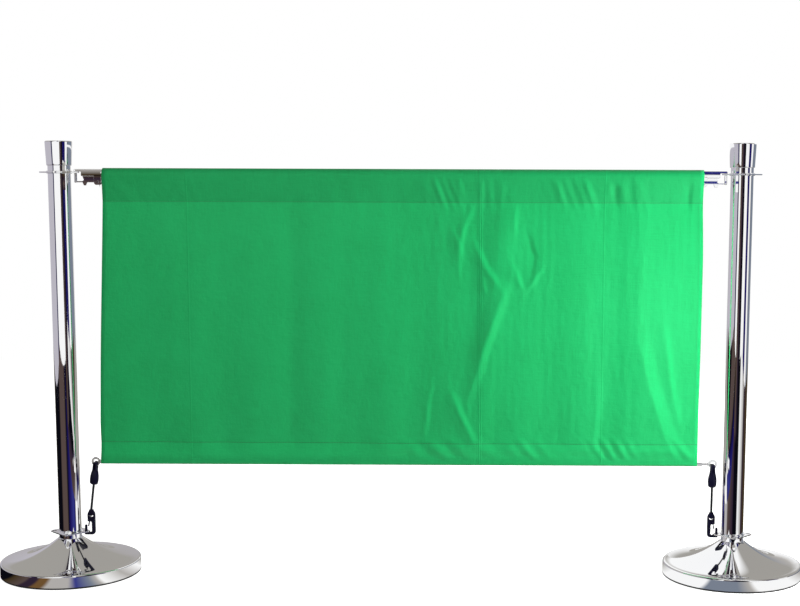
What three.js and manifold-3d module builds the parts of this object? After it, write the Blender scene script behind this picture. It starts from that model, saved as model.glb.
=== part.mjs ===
// A cafe barrier: two polished posts on round weighted bases, joined by a crossbar that carries a
// fabric banner. Spring hooks at the crossbar ends drop into ring plates on the posts, and two
// elastic cords pull the rod in the banner's lower hem down to matching plates near the floor.
// Millimetres. X runs along the banner, Y points to the back, Z is up from the floor.

import * as THREE from "three";
import { mergeVertices } from "three/addons/utils/BufferGeometryUtils.js";
import Module from "manifold-3d";

const wasm = await Module();
wasm.setup();

// Whole barrier
const post_spacing = 1550;
const post_height = 1000;
const fit_gap = 0.3;
const cut_overrun = 2;

// Round counts
const disc_segments = 32;
const tube_segments = 24;
const pin_segments = 12;
const arc_segments = 4;

// Post tube, its foot and the bolt that holds the base on
const tube_radius = 25.4;
const tube_wall = 1.5;
const tube_foot_height = 34;
const foot_plug_height = 20;
const bolt_radius = 5;
const bolt_head_radius = 9;
const bolt_head_height = 6.4;
const bolt_reach = 14;
const washer_radius = 10.4;
const washer_thickness = 1.5;

// Base: a cast weight under a spun cover, standing on a rubber ring
const base_radius = 160;
const skirt_top = 31;
const shoulder_radius = 4;
const cover_wall = 1.5;
const cover_lip_height = 82;
const cover_lip_width = 2;
const cover_curve_power = 2.05;
const cover_steps = 7;
const cover_step_power = 1.5;
const rubber_thickness = 3.5;
const rubber_width = 20;
const weight_clearance = 3;
const weight_edge_height = 22;
const weight_boss_radius = 33;
const weight_boss_height = 60;
const weight_slope_drop = 8;
const counterbore_radius = 11.5;
const counterbore_depth = 10.2;

// Ring plates that the hooks drop into
const upper_ring_below_cap = 15;
const lower_ring_above_cover = 14;
const ring_thickness = 3;
const ring_hub_height = 6;
const ring_hub_width = 2.6;
const eyelet_count = 4;
const eyelet_distance = 37;
const eyelet_radius = 5.25;
const eyelet_rim = 3.25;

// Cap
const cap_height = 55;
const cap_top_radius = 30.2;
const cap_foot_radius = 27.8;
const cap_edge_radius = 2.5;
const cap_socket_depth = 30;
const cap_plug_height = 16;
const stud_radius = 4;
const stud_length = 30;

// Crossbar tube, its middle a little below the upper plates
const crossbar_drop = 4.1;
const crossbar_radius = 12.7;
const crossbar_wall = 1.5;
const crossbar_end_distance = 100;

// Spring hook at each crossbar end
const hook_thickness = 12;
const hook_bar_height = 15.5;
const hook_arm_radius = 3.25;
const hook_arm_drop = 25;
const hook_throat_width = 10;
const hook_lug_length = 16;
const hook_lug_drop = 20;
const hook_lug_setback = 4;
const hook_slot_width = 8.6;
const hook_plug_length = 30;
const rivet_radius = 2;
const rivet_inset = 15;

// Latch that closes the hook, its pin and its spring
const latch_thickness = 4.6;
const latch_height = 14;
const latch_nose_thickness = 2.6;
const latch_nose_length = 9.6;
const latch_front_rake = 3;
const latch_thumb_length = 8;
const latch_thumb_drop = 7;
const latch_tail = 4.5;
const latch_pin_radius = 2;
const latch_pin_inset = 8;
const latch_pin_rise = 6.5;
const latch_pin_head_radius = 3.2;
const latch_pin_head_height = 1;
const spring_wire = 0.6;
const spring_coil_radius = 3.4;
const spring_pitch = 1.1;
const spring_turns = 2;
const spring_leg = 9;
const spring_sides = 5;
const spring_steps_per_turn = 8;

// Banner: one strip of cloth with a sewn pocket along the top and another along the bottom
const cloth_thickness = 1;
const top_hem = 87;
const bottom_hem = 52;
const banner_left_top = 96.4;
const banner_left_bottom = 77;
const banner_right_top = 88;
const banner_right_bottom = 90;
const pocket_gap = 0.4;
const banner_columns = 30;
const panel_rows = 3;
const fold_depth = 5;
const fold_width = 34;
const hem_ripple = 1.6;
const hem_ripple_length = 150;

// Rod in the lower pocket and its flat eyes
const rod_radius = 4;
const rod_wall = 1;
const rod_right_end = 74.5;
const eye_left_distance = 64.5;
const eye_right_distance = 49.5;
const eye_radius = 10.5;
const eye_hole_radius = 5.5;
const eye_thickness = 2.5;
const eye_neck_length = 13.5;
const eye_neck_half_height = 3.1;
const eye_shank_radius = 2.6;
const eye_shank_grip = 25;

// Elastic cord with its moulded end and its hook
const cord_radius = 2.75;
const cord_drop = 59.4;
const cord_sides = 10;
const link_width = 5;
const link_bar = 4.8;
const link_inner_depth = 9;
const link_outer_drop = 20;
const end_length = 55;
const end_half_width = 10.2;
const end_half_depth = 6.5;
const end_waist_half_width = 6;
const clip_thickness = 8;
const clip_tip_radius = 3;
const clip_tip_rise = 16;
const clip_bar_height = 5.7;
const clip_spine_inner = 14;
const clip_spine_width = 8;
const clip_head_bottom = 24;
const clip_head_top = 52;
const clip_head_left = 4.5;
const clip_neck_half_width = 5;
const clip_neck_height = 6;
const clip_corner = 4;
const gate_width = 3;
const gate_slot_width = 3.8;
const gate_thickness = 2.4;
const gate_length = 16.5;
const gate_boss_radius = 2.4;
const gate_pin_radius = 1.1;
const gate_pin_across = 9.5;
const gate_pin_rise = 28;

// Places worked out from the sizes above
const rubber_top = rubber_thickness + fit_gap;
const cap_foot = post_height - cap_height;
const upper_ring_height = cap_foot - upper_ring_below_cap;
const lower_ring_height = cover_lip_height + lower_ring_above_cover;
const ring_top = upper_ring_height + ring_thickness / 2;
const crossbar_height = upper_ring_height - crossbar_drop;
const banner_top = crossbar_height + crossbar_radius + pocket_gap + cloth_thickness;
const hook_top = crossbar_height + Math.sqrt(crossbar_radius ** 2 - (hook_thickness / 2) ** 2);
const hook_bottom = hook_top - hook_bar_height;
const hook_inner_end = eyelet_distance - hook_arm_radius;
const throat_end = eyelet_distance + hook_arm_radius + hook_throat_width;
const hook_outer_end = crossbar_end_distance - fit_gap;
const lug_end = hook_outer_end - hook_lug_setback;
const lug_start = lug_end - hook_lug_length;
const lug_bottom = hook_bottom - hook_lug_drop;
const latch_pin_distance = lug_start + latch_pin_inset;
const latch_pin_height = lug_bottom + latch_pin_rise;
const tube_top = cap_foot + cap_socket_depth;
const clip_top = lower_ring_height + clip_head_top;
const rod_height = clip_top + cord_drop + end_length;
const banner_bottom = rod_height - rod_radius - pocket_gap - cloth_thickness;
const clip_cord_across = (clip_head_left + clip_spine_inner + clip_spine_width) / 2;
const clip_cord_distance = eyelet_distance + clip_cord_across;

// Colours and finishes
const finishes = {
  chrome: { color: 0xd8dade, roughness: 0.08, metalness: 1 },
  iron: { color: 0x3a3b3d, roughness: 0.7, metalness: 0.6 },
  zinc: { color: 0xb4b7ba, roughness: 0.35, metalness: 1 },
  rubber: { color: 0x141414, roughness: 0.8, metalness: 0 },
  fabric: { color: 0x22b060, roughness: 0.85, metalness: 0 },
  plastic: { color: 0x0b0c12, roughness: 0.4, metalness: 0 },
  elastic: { color: 0x101114, roughness: 0.7, metalness: 0 },
};

const barrier = new THREE.Group();

// A named mesh with its own material, added to a parent
function addPiece(parent, name, geometry, finish) {
  const piece = new THREE.Mesh(geometry, new THREE.MeshStandardMaterial(finishes[finish]));
  piece.name = name;
  parent.add(piece);
  return piece;
}

// Six times the volume that a triangle mesh encloses, negative when its faces point in
function signedVolume(geometry) {
  const place = geometry.getAttribute("position");
  const index = geometry.getIndex();
  const a = new THREE.Vector3();
  const b = new THREE.Vector3();
  const c = new THREE.Vector3();
  let sum = 0;
  for (let i = 0; i < index.count; i += 3) {
    a.fromBufferAttribute(place, index.getX(i));
    b.fromBufferAttribute(place, index.getX(i + 1));
    c.fromBufferAttribute(place, index.getX(i + 2));
    sum += a.dot(b.cross(c));
  }
  return sum;
}

// The same shape with shared vertices and with its faces pointing out
function closed(geometry) {
  const bare = geometry.index ? geometry.clone() : geometry;
  bare.deleteAttribute("normal");
  bare.deleteAttribute("uv");
  const merged = mergeVertices(bare, fit_gap / 1000);
  if (signedVolume(merged) < 0) {
    const index = merged.getIndex();
    for (let i = 0; i < index.count; i += 3) {
      const second = index.getX(i + 1);
      index.setX(i + 1, index.getX(i + 2));
      index.setX(i + 2, second);
    }
  }
  return merged;
}

function solid(geometry) {
  const shape = closed(geometry);
  return new wasm.Manifold(new wasm.Mesh({
    numProp: 3,
    vertProperties: new Float32Array(shape.getAttribute("position").array),
    triVerts: new Uint32Array(shape.getIndex().array),
  }));
}

function surface(manifold) {
  const mesh = manifold.getMesh();
  const geometry = new THREE.BufferGeometry();
  geometry.setAttribute("position", new THREE.BufferAttribute(new Float32Array(mesh.vertProperties), 3));
  geometry.setIndex(new THREE.BufferAttribute(new Uint32Array(mesh.triVerts), 1));
  return geometry;
}

// A closed profile of radius and height turned about the upright axis
function turned(profile, segments) {
  const points = profile.map(([radius, height]) => new THREE.Vector2(radius, height));
  points.push(points[0].clone());
  const geometry = new THREE.LatheGeometry(points, segments);
  geometry.rotateX(Math.PI / 2);
  return closed(geometry);
}

// A solid turned profile that starts and ends on the upright axis
function turnedSolid(profile, segments) {
  const points = profile.map(([radius, height]) => new THREE.Vector2(radius, height));
  const geometry = new THREE.LatheGeometry(points, segments);
  geometry.rotateX(Math.PI / 2);
  return closed(geometry);
}

function ringProfile(inner, outer, bottom, top) {
  return [[inner, bottom], [outer, bottom], [outer, top], [inner, top]];
}

function rodProfile(radius, bottom, top) {
  return [[0, bottom], [radius, bottom], [radius, top], [0, top]];
}

// A rod along X between two distances, centred at a height
function rodAlongX(radius, start, end, height, segments) {
  const geometry = turnedSolid(rodProfile(radius, start, end), segments);
  geometry.rotateY(Math.PI / 2);
  geometry.translate(0, 0, height);
  return geometry;
}

// A rod along Y, centred on the middle plane, at a distance and a height
function rodAlongY(radius, length, distance, height) {
  const geometry = turnedSolid(rodProfile(radius, -length / 2, length / 2), pin_segments);
  geometry.rotateX(Math.PI / 2);
  geometry.translate(distance, 0, height);
  return geometry;
}

// A side outline of distance and height, made thick along Y about the middle plane
function sidePlate(shape, thickness) {
  const geometry = new THREE.ExtrudeGeometry(shape, {
    depth: thickness,
    bevelEnabled: false,
    curveSegments: arc_segments,
  });
  geometry.translate(0, 0, -thickness / 2);
  geometry.rotateX(Math.PI / 2);
  return closed(geometry);
}

function boxBetween(left, right, bottom, top, thickness) {
  const geometry = new THREE.BoxGeometry(right - left, thickness, top - bottom);
  geometry.translate((left + right) / 2, 0, (bottom + top) / 2);
  return closed(geometry);
}

// Outer height of the spun cover at a radius: a curve that steepens towards the tube
function coverHeight(radius) {
  const lip = tube_radius + fit_gap + cover_lip_width;
  const edge = base_radius - shoulder_radius;
  const share = (edge - radius) / (edge - lip);
  return skirt_top + (cover_lip_height - skirt_top) * share ** cover_curve_power;
}

function makeCover() {
  const bore = tube_radius + fit_gap;
  const lip = bore + cover_lip_width;
  const edge = base_radius - shoulder_radius;
  const outer = [];
  for (let step = 0; step <= cover_steps; step += 1) {
    const radius = lip + (edge - lip) * (step / cover_steps) ** cover_step_power;
    outer.push([radius, coverHeight(radius)]);
  }
  for (let step = 1; step <= arc_segments; step += 1) {
    const angle = (Math.PI / 2) * (step / arc_segments);
    const across = edge + shoulder_radius * Math.sin(angle);
    outer.push([across, skirt_top - shoulder_radius * (1 - Math.cos(angle))]);
  }
  outer.push([base_radius, rubber_top]);
  const inner = [];
  inner.push([base_radius - cover_wall, rubber_top]);
  inner.push([base_radius - cover_wall, skirt_top - shoulder_radius]);
  for (let step = cover_steps; step >= 0; step -= 1) {
    const radius = lip + (edge - lip) * (step / cover_steps) ** cover_step_power;
    const lean = Math.atan((coverHeight(radius - cover_wall) - coverHeight(radius)) / cover_wall);
    const across = Math.max(radius - cover_wall * Math.sin(lean), bore);
    inner.push([across, coverHeight(radius) - cover_wall * Math.cos(lean)]);
  }
  inner.push([bore, cover_lip_height]);
  return turned([...outer, ...inner], disc_segments);
}

// Cast disc with a boss whose socket takes the tube's foot
function makeWeight() {
  const hole = bolt_radius + fit_gap;
  const bottom = rubber_top;
  const edge = base_radius - cover_wall - weight_clearance;
  const boss_foot = coverHeight(weight_boss_radius * 2) - weight_slope_drop - cover_wall;
  const middle = (edge + weight_boss_radius) / 2;
  return turned([
    [hole, bottom + counterbore_depth],
    [counterbore_radius, bottom + counterbore_depth],
    [counterbore_radius, bottom],
    [edge, bottom],
    [edge, weight_edge_height],
    [middle, coverHeight(middle) - weight_slope_drop],
    [weight_boss_radius * 2, boss_foot],
    [weight_boss_radius, boss_foot],
    [weight_boss_radius, weight_boss_height],
    [tube_radius + fit_gap, weight_boss_height],
    [tube_radius + fit_gap, tube_foot_height],
    [hole, tube_foot_height],
  ], tube_segments);
}

// Square plate with rounded corners, an eyelet in each corner and a hub round the tube
function makeRing() {
  const outline = new THREE.Shape();
  for (let corner = 0; corner < eyelet_count; corner += 1) {
    const angle = corner * 2 * Math.PI / eyelet_count;
    const half_turn = Math.PI / eyelet_count;
    const x = eyelet_distance * Math.cos(angle);
    const y = eyelet_distance * Math.sin(angle);
    outline.absarc(x, y, eyelet_radius + eyelet_rim, angle - half_turn, angle + half_turn, false);
  }
  const plate = new THREE.ExtrudeGeometry(outline, {
    depth: ring_thickness,
    bevelEnabled: false,
    curveSegments: arc_segments,
  });
  plate.translate(0, 0, -ring_thickness / 2);
  const bore = tube_radius + fit_gap;
  const half = ring_hub_height / 2;
  let ring = solid(plate).add(solid(turned(
    ringProfile(bore - ring_hub_width / 2, bore + ring_hub_width, -half, half), tube_segments)));
  const cut = ring_hub_height + cut_overrun;
  ring = ring.subtract(solid(turnedSolid(rodProfile(bore, -cut, cut), tube_segments)));
  for (let corner = 0; corner < eyelet_count; corner += 1) {
    const angle = corner * 2 * Math.PI / eyelet_count;
    const hole = turnedSolid(rodProfile(eyelet_radius, -cut, cut), pin_segments);
    hole.translate(eyelet_distance * Math.cos(angle), eyelet_distance * Math.sin(angle), 0);
    ring = ring.subtract(solid(hole));
  }
  return surface(ring);
}

function makeCap() {
  const bore = tube_radius + fit_gap;
  const stud_hole = stud_radius + fit_gap;
  const ceiling = tube_top + fit_gap;
  const stud_top = tube_top + stud_length / 2 + fit_gap;
  const profile = [
    [0, stud_top],
    [stud_hole, stud_top],
    [stud_hole, ceiling],
    [bore, ceiling],
    [bore, cap_foot],
    [cap_foot_radius - cap_edge_radius / 2, cap_foot],
    [cap_foot_radius, cap_foot + cap_edge_radius / 2],
  ];
  for (let step = 0; step <= arc_segments; step += 1) {
    const angle = (Math.PI / 2) * (step / arc_segments);
    const radius = cap_top_radius - cap_edge_radius * (1 - Math.cos(angle));
    profile.push([radius, post_height - cap_edge_radius * (1 - Math.sin(angle))]);
  }
  profile.push([0, post_height]);
  return turnedSolid(profile, tube_segments);
}

// One post, with its own axis at zero and the banner on its +X side
function addPost(parent, side) {
  const bore = tube_radius - tube_wall - fit_gap;
  const bolt_hole = bolt_radius + fit_gap;
  const washer_top = rubber_top + counterbore_depth - fit_gap;
  const washer_foot = washer_top - washer_thickness;
  const head_top = washer_foot - fit_gap;
  const plug_foot = tube_foot_height + fit_gap;
  addPiece(parent, `base_cover_${side}`, makeCover(), "chrome");
  addPiece(parent, `base_weight_${side}`, makeWeight(), "iron");
  addPiece(parent, `base_rubber_${side}`, turned(
    ringProfile(base_radius - rubber_width, base_radius, 0, rubber_thickness), disc_segments), "rubber");
  addPiece(parent, `post_tube_${side}`, turned(
    ringProfile(tube_radius - tube_wall, tube_radius, plug_foot, tube_top), tube_segments), "chrome");
  addPiece(parent, `foot_plug_${side}`, turned(
    ringProfile(bolt_hole, bore, plug_foot, plug_foot + foot_plug_height), tube_segments), "zinc");
  const bolt = solid(turnedSolid(rodProfile(bolt_head_radius, head_top - bolt_head_height, head_top), 6))
    .add(solid(turnedSolid(
      rodProfile(bolt_radius, head_top - bolt_head_height / 2, plug_foot + bolt_reach), pin_segments)));
  addPiece(parent, `base_bolt_${side}`, surface(bolt), "zinc");
  addPiece(parent, `base_washer_${side}`, turned(
    ringProfile(bolt_hole, washer_radius, washer_foot, washer_top), pin_segments), "zinc");
  for (const [name, height] of [["lower_ring", lower_ring_height], ["upper_ring", upper_ring_height]]) {
    addPiece(parent, `${name}_${side}`, makeRing(), "chrome").position.z = height;
  }
  addPiece(parent, `cap_${side}`, makeCap(), "chrome");
  const plug_top = tube_top - fit_gap;
  const plug_bottom = plug_top - cap_plug_height;
  addPiece(parent, `cap_plug_${side}`, turned(
    ringProfile(stud_radius + fit_gap, bore, plug_bottom, plug_top), tube_segments), "zinc");
  const stud_bottom = tube_top - stud_length / 2;
  addPiece(parent, `cap_stud_${side}`, turnedSolid(
    rodProfile(stud_radius, stud_bottom, stud_bottom + stud_length), pin_segments), "zinc");
}

// The hole for a rivet that comes up through the crossbar's underside into the hook's plug
function rivetHole(distance) {
  const bottom = crossbar_height - crossbar_radius - cut_overrun;
  const hole = turnedSolid(rodProfile(rivet_radius + fit_gap, bottom, crossbar_height), pin_segments);
  hole.translate(distance, 0, 0);
  return hole;
}

// The hole across the hook and its latch that the latch pin runs in
function latchPinHole() {
  const radius = latch_pin_radius + fit_gap;
  return rodAlongY(radius, hook_thickness * 2, latch_pin_distance, latch_pin_height);
}

// Hook with a round arm that drops through the eyelet, a forked lug and a plug inside the crossbar
function makeHook() {
  let body = solid(boxBetween(hook_inner_end, hook_outer_end, hook_bottom, hook_top, hook_thickness));
  const ceiling = ring_top + fit_gap;
  body = body.subtract(solid(boxBetween(
    hook_inner_end - cut_overrun, throat_end, hook_bottom - cut_overrun, ceiling, hook_thickness * 2)));
  const arm = turnedSolid(rodProfile(hook_arm_radius, ring_top - hook_arm_drop, hook_top), pin_segments);
  arm.translate(eyelet_distance, 0, 0);
  body = body.add(solid(arm));
  const lug_top = hook_bottom + cut_overrun;
  body = body.add(solid(boxBetween(lug_start, lug_end, lug_bottom, lug_top, hook_thickness)));
  const slot_start = throat_end + fit_gap;
  body = body.subtract(solid(boxBetween(
    slot_start, lug_end + cut_overrun, lug_bottom - cut_overrun, hook_bottom, hook_slot_width)));
  body = body.subtract(solid(latchPinHole()));
  const plug_radius = crossbar_radius - crossbar_wall - fit_gap;
  const plug_end = crossbar_end_distance + hook_plug_length;
  body = body.add(solid(rodAlongX(plug_radius, lug_end, plug_end, crossbar_height, tube_segments)));
  body = body.subtract(solid(rivetHole(crossbar_end_distance + rivet_inset)));
  return surface(body);
}

// Lever with a thin nose under the plate's rim and a thumb piece below
function makeLatch() {
  const top = hook_bottom - fit_gap;
  const low = top - latch_height;
  const front = throat_end;
  const nose_tip = front - latch_nose_length;
  const back = latch_pin_distance + latch_tail;
  const outline = new THREE.Shape();
  outline.moveTo(nose_tip, low);
  outline.lineTo(front + latch_front_rake, low);
  outline.lineTo(front + latch_front_rake * 2, low - latch_thumb_drop);
  outline.lineTo(front + latch_front_rake + latch_thumb_length, low - latch_thumb_drop);
  outline.lineTo(front + latch_front_rake * 2 + latch_thumb_length, low);
  outline.lineTo(back, low);
  outline.lineTo(back, latch_pin_height);
  outline.lineTo(back - latch_tail, top);
  outline.lineTo(front + latch_front_rake, top);
  outline.lineTo(front + latch_front_rake * 2, low + latch_nose_thickness * 2);
  outline.lineTo(front + latch_front_rake, low + latch_nose_thickness);
  outline.lineTo(nose_tip, low + latch_nose_thickness);
  const plate = sidePlate(outline, latch_thickness);
  const spring_side = (hook_slot_width - latch_thickness) / 2 - fit_gap;
  plate.translate(0, -spring_side, 0);
  return surface(solid(plate).subtract(solid(latchPinHole())));
}

function makeLatchPin() {
  const across = latch_pin_distance;
  const length = hook_thickness + fit_gap * 4;
  let pin = solid(rodAlongY(latch_pin_radius, length, across, latch_pin_height));
  for (const front of [-1, 1]) {
    const head = rodAlongY(latch_pin_head_radius, latch_pin_head_height, across, latch_pin_height);
    head.translate(0, front * (hook_thickness / 2 + fit_gap + latch_pin_head_height / 2), 0);
    pin = pin.add(solid(head));
  }
  return surface(pin);
}

// A tube of wire whose centre line is given point by point, closed at both ends
function wireTube(points, radius, sides) {
  const positions = [];
  const index = [];
  const count = points.length;
  const side_way = new THREE.Vector3(0, 1, 0);
  for (let i = 0; i < count; i += 1) {
    const before = points[Math.max(i - 1, 0)];
    const after = points[Math.min(i + 1, count - 1)];
    const along = after.clone().sub(before).normalize();
    const across = side_way.clone().addScaledVector(along, -side_way.dot(along)).normalize();
    const up = along.clone().cross(across);
    for (let side = 0; side < sides; side += 1) {
      const angle = 2 * Math.PI * side / sides;
      const place = points[i].clone();
      place.addScaledVector(across, radius * Math.cos(angle));
      place.addScaledVector(up, radius * Math.sin(angle));
      positions.push(place.x, place.y, place.z);
    }
  }
  for (let i = 0; i < count - 1; i += 1) {
    for (let side = 0; side < sides; side += 1) {
      const next = (side + 1) % sides;
      const a = i * sides + side;
      const b = i * sides + next;
      index.push(a, b, b + sides, a, b + sides, a + sides);
    }
  }
  for (let side = 1; side < sides - 1; side += 1) {
    const last = (count - 1) * sides;
    index.push(0, side + 1, side, last, last + side, last + side + 1);
  }
  const geometry = new THREE.BufferGeometry();
  geometry.setAttribute("position", new THREE.Float32BufferAttribute(positions, 3));
  geometry.setIndex(index);
  return closed(geometry);
}

// Least distance between turns of a wire: points under half a turn apart are skipped
function leastSelfGap(points, radius, skip) {
  let least = Infinity;
  for (let i = 0; i < points.length; i += 1) {
    for (let j = i + skip; j < points.length; j += 1) {
      least = Math.min(least, points[i].distanceTo(points[j]) - 2 * radius);
    }
  }
  return least;
}

// Torsion spring round the latch pin: one leg stands up to the bar, the other lies along the lever
function makeLatchSpring() {
  const start = hook_slot_width / 2 - fit_gap - spring_wire / 2;
  const rise = hook_bottom - fit_gap - latch_pin_height;
  const steps = Math.round((spring_turns + 1 / 4) * spring_steps_per_turn);
  const points = [new THREE.Vector3(spring_coil_radius, start, rise)];
  for (let step = 0; step <= steps; step += 1) {
    const angle = -2 * Math.PI * step / spring_steps_per_turn;
    points.push(new THREE.Vector3(spring_coil_radius * Math.cos(angle),
      start - spring_pitch * step / spring_steps_per_turn, spring_coil_radius * Math.sin(angle)));
  }
  const end = start - spring_pitch * steps / spring_steps_per_turn;
  points.push(new THREE.Vector3(-spring_leg, end, -spring_coil_radius));
  const gap = leastSelfGap(points.slice(1, -1), spring_wire / 2, spring_steps_per_turn / 2);
  console.log(`latch spring: least gap to itself ${gap.toFixed(2)} mm`);
  const wire = wireTube(points, spring_wire / 2, spring_sides);
  wire.translate(latch_pin_distance, 0, latch_pin_height);
  return wire;
}

function addHook(parent, side) {
  addPiece(parent, `crossbar_hook_${side}`, makeHook(), "chrome");
  addPiece(parent, `latch_${side}`, makeLatch(), "chrome");
  addPiece(parent, `latch_pin_${side}`, makeLatchPin(), "zinc");
  addPiece(parent, `latch_spring_${side}`, makeLatchSpring(), "zinc");
  const rivet = turnedSolid(rodProfile(rivet_radius,
    crossbar_height - crossbar_radius, crossbar_height - fit_gap), pin_segments);
  rivet.translate(crossbar_end_distance + rivet_inset, 0, 0);
  addPiece(parent, `crossbar_rivet_${side}`, rivet, "zinc");
}

function makeCrossbar() {
  const half = post_spacing / 2 - crossbar_end_distance;
  const bore = crossbar_radius - crossbar_wall;
  const tube = turned(ringProfile(bore, crossbar_radius, -half, half), tube_segments);
  tube.rotateY(Math.PI / 2);
  tube.translate(0, 0, crossbar_height);
  let bar = solid(tube);
  for (const side of [-1, 1]) {
    bar = bar.subtract(solid(rivetHole(side * (half - rivet_inset))));
  }
  return surface(bar);
}

// Depth of the cloth's folds at a place: upright creases, one slanted crease and a rippled hem
const fold_place_shares = [-0.35, -0.16, 0.135, 0.345, 0.46];
const fold_depth_shares = [0.35, -0.3, 1, 0.45, -0.4];
const fold_slant_shares = [0, 0, 0.05, 0.02, -0.04];

function foldDepth(x, z) {
  const width = post_spacing;
  const rise = (z - banner_bottom) / (banner_top - banner_bottom);
  const top_fade = Math.min(1, Math.max(0, (banner_top - crossbar_radius * 2 - z) / top_hem));
  const bottom_fade = Math.min(1, Math.max(0, (z - rod_height) / bottom_hem));
  let depth = hem_ripple * Math.sin(2 * Math.PI * x / hem_ripple_length) * (1 - rise);
  for (let i = 0; i < fold_place_shares.length; i += 1) {
    const centre = (fold_place_shares[i] + fold_slant_shares[i] * (rise - 1 / 2)) * width;
    depth -= fold_depth * fold_depth_shares[i] * Math.exp(-(((x - centre) / fold_width) ** 2));
  }
  return depth * top_fade * bottom_fade;
}

// Round pocket outline that tapers to a seam: an arc about the rod, then straight sides
function pocketOutline(radius, centre, seam, seam_half, up) {
  const reach = Math.abs(seam - centre);
  const lean = Math.asin((radius - seam_half) / reach);
  const points = [];
  for (let step = 0; step <= arc_segments + 1; step += 1) {
    const angle = -lean + (Math.PI + 2 * lean) * step / (arc_segments + 1);
    points.push([radius * Math.cos(angle), centre + up * radius * Math.sin(angle)]);
  }
  return points;
}

function makeBanner() {
  const half = cloth_thickness / 2;
  const top_inner = crossbar_radius + pocket_gap;
  const bottom_inner = rod_radius + pocket_gap;
  const polygon_reach = 1 / Math.cos(Math.PI / (2 * arc_segments + 2));
  const top_seam = banner_top - top_hem;
  const bottom_seam = banner_bottom + bottom_hem;
  const top_outer = (top_inner + cloth_thickness) * polygon_reach;
  const bottom_outer = (bottom_inner + cloth_thickness) * polygon_reach;
  const rows = [];
  for (let row = 0; row <= panel_rows; row += 1) {
    rows.push(top_seam + (bottom_seam - top_seam) * row / panel_rows);
  }
  const loop = pocketOutline(top_outer, crossbar_height, top_seam, cloth_thickness, 1);
  rows.forEach((z, row) => loop.push([row === 0 ? -cloth_thickness : -half, z]));
  loop.push(...pocketOutline(bottom_outer, rod_height, bottom_seam, cloth_thickness, -1).reverse());
  rows.reverse().forEach((z, row) => loop.push([row === panel_rows ? cloth_thickness : half, z]));
  const outline = new THREE.Shape(loop.map(([y, z]) => new THREE.Vector2(y, z)));
  for (const [inner, centre, seam, up] of [
    [top_inner, crossbar_height, top_seam + cloth_thickness * 4, 1],
    [bottom_inner, rod_height, bottom_seam - cloth_thickness * 4, -1],
  ]) {
    const pocket = [...pocketOutline(inner * polygon_reach, centre, seam, 0, up), [0, seam]];
    outline.holes.push(new THREE.Path(pocket.map(([y, z]) => new THREE.Vector2(y, z))));
  }
  const geometry = new THREE.ExtrudeGeometry(outline, {
    depth: 1,
    steps: banner_columns,
    bevelEnabled: false,
  });
  const place = geometry.getAttribute("position");
  for (let i = 0; i < place.count; i += 1) {
    const y = place.getX(i);
    const z = place.getY(i);
    const share = place.getZ(i);
    const rise = (z - banner_bottom) / (banner_top - banner_bottom);
    const left_inset = banner_left_bottom + (banner_left_top - banner_left_bottom) * rise;
    const right_inset = banner_right_bottom + (banner_right_top - banner_right_bottom) * rise;
    const x = left_inset - post_spacing / 2 + (post_spacing - left_inset - right_inset) * share;
    place.setXYZ(i, x, y + foldDepth(x, z), z);
  }
  return closed(geometry);
}

function makeRod() {
  const start = -post_spacing / 2 + eye_left_distance + eye_neck_length + fit_gap;
  const end = post_spacing / 2 - rod_right_end;
  const rod = turned(ringProfile(rod_radius - rod_wall, rod_radius, start, end), pin_segments);
  rod.rotateY(Math.PI / 2);
  rod.translate(0, 0, rod_height);
  return rod;
}

// Flat eye with a neck and a shank that sits in the rod's bore
function makeEye(distance, rod_end) {
  const slope = Math.asin((eye_radius - eye_neck_half_height) / eye_neck_length);
  const outline = new THREE.Shape();
  outline.absarc(distance, rod_height, eye_radius, Math.PI / 2 - slope, 3 * Math.PI / 2 + slope, false);
  outline.lineTo(distance + eye_neck_length, rod_height - eye_neck_half_height);
  outline.lineTo(distance + eye_neck_length, rod_height + eye_neck_half_height);
  let eye = solid(sidePlate(outline, eye_thickness));
  const shank_start = distance + eye_radius;
  const shank_end = rod_end + eye_shank_grip;
  eye = eye.add(solid(rodAlongX(eye_shank_radius, shank_start, shank_end, rod_height, pin_segments)));
  eye = eye.subtract(solid(rodAlongY(eye_hole_radius, eye_thickness * 4, distance, rod_height)));
  return surface(eye);
}

// Moulded cord end: a swelling body below a link that passes through the rod's eye
const end_body_shares = [[0.68, 1], [0.95, 0.92], [1, 0.74], [0.9, 0.56], [0.62, 0.38]];

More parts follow.
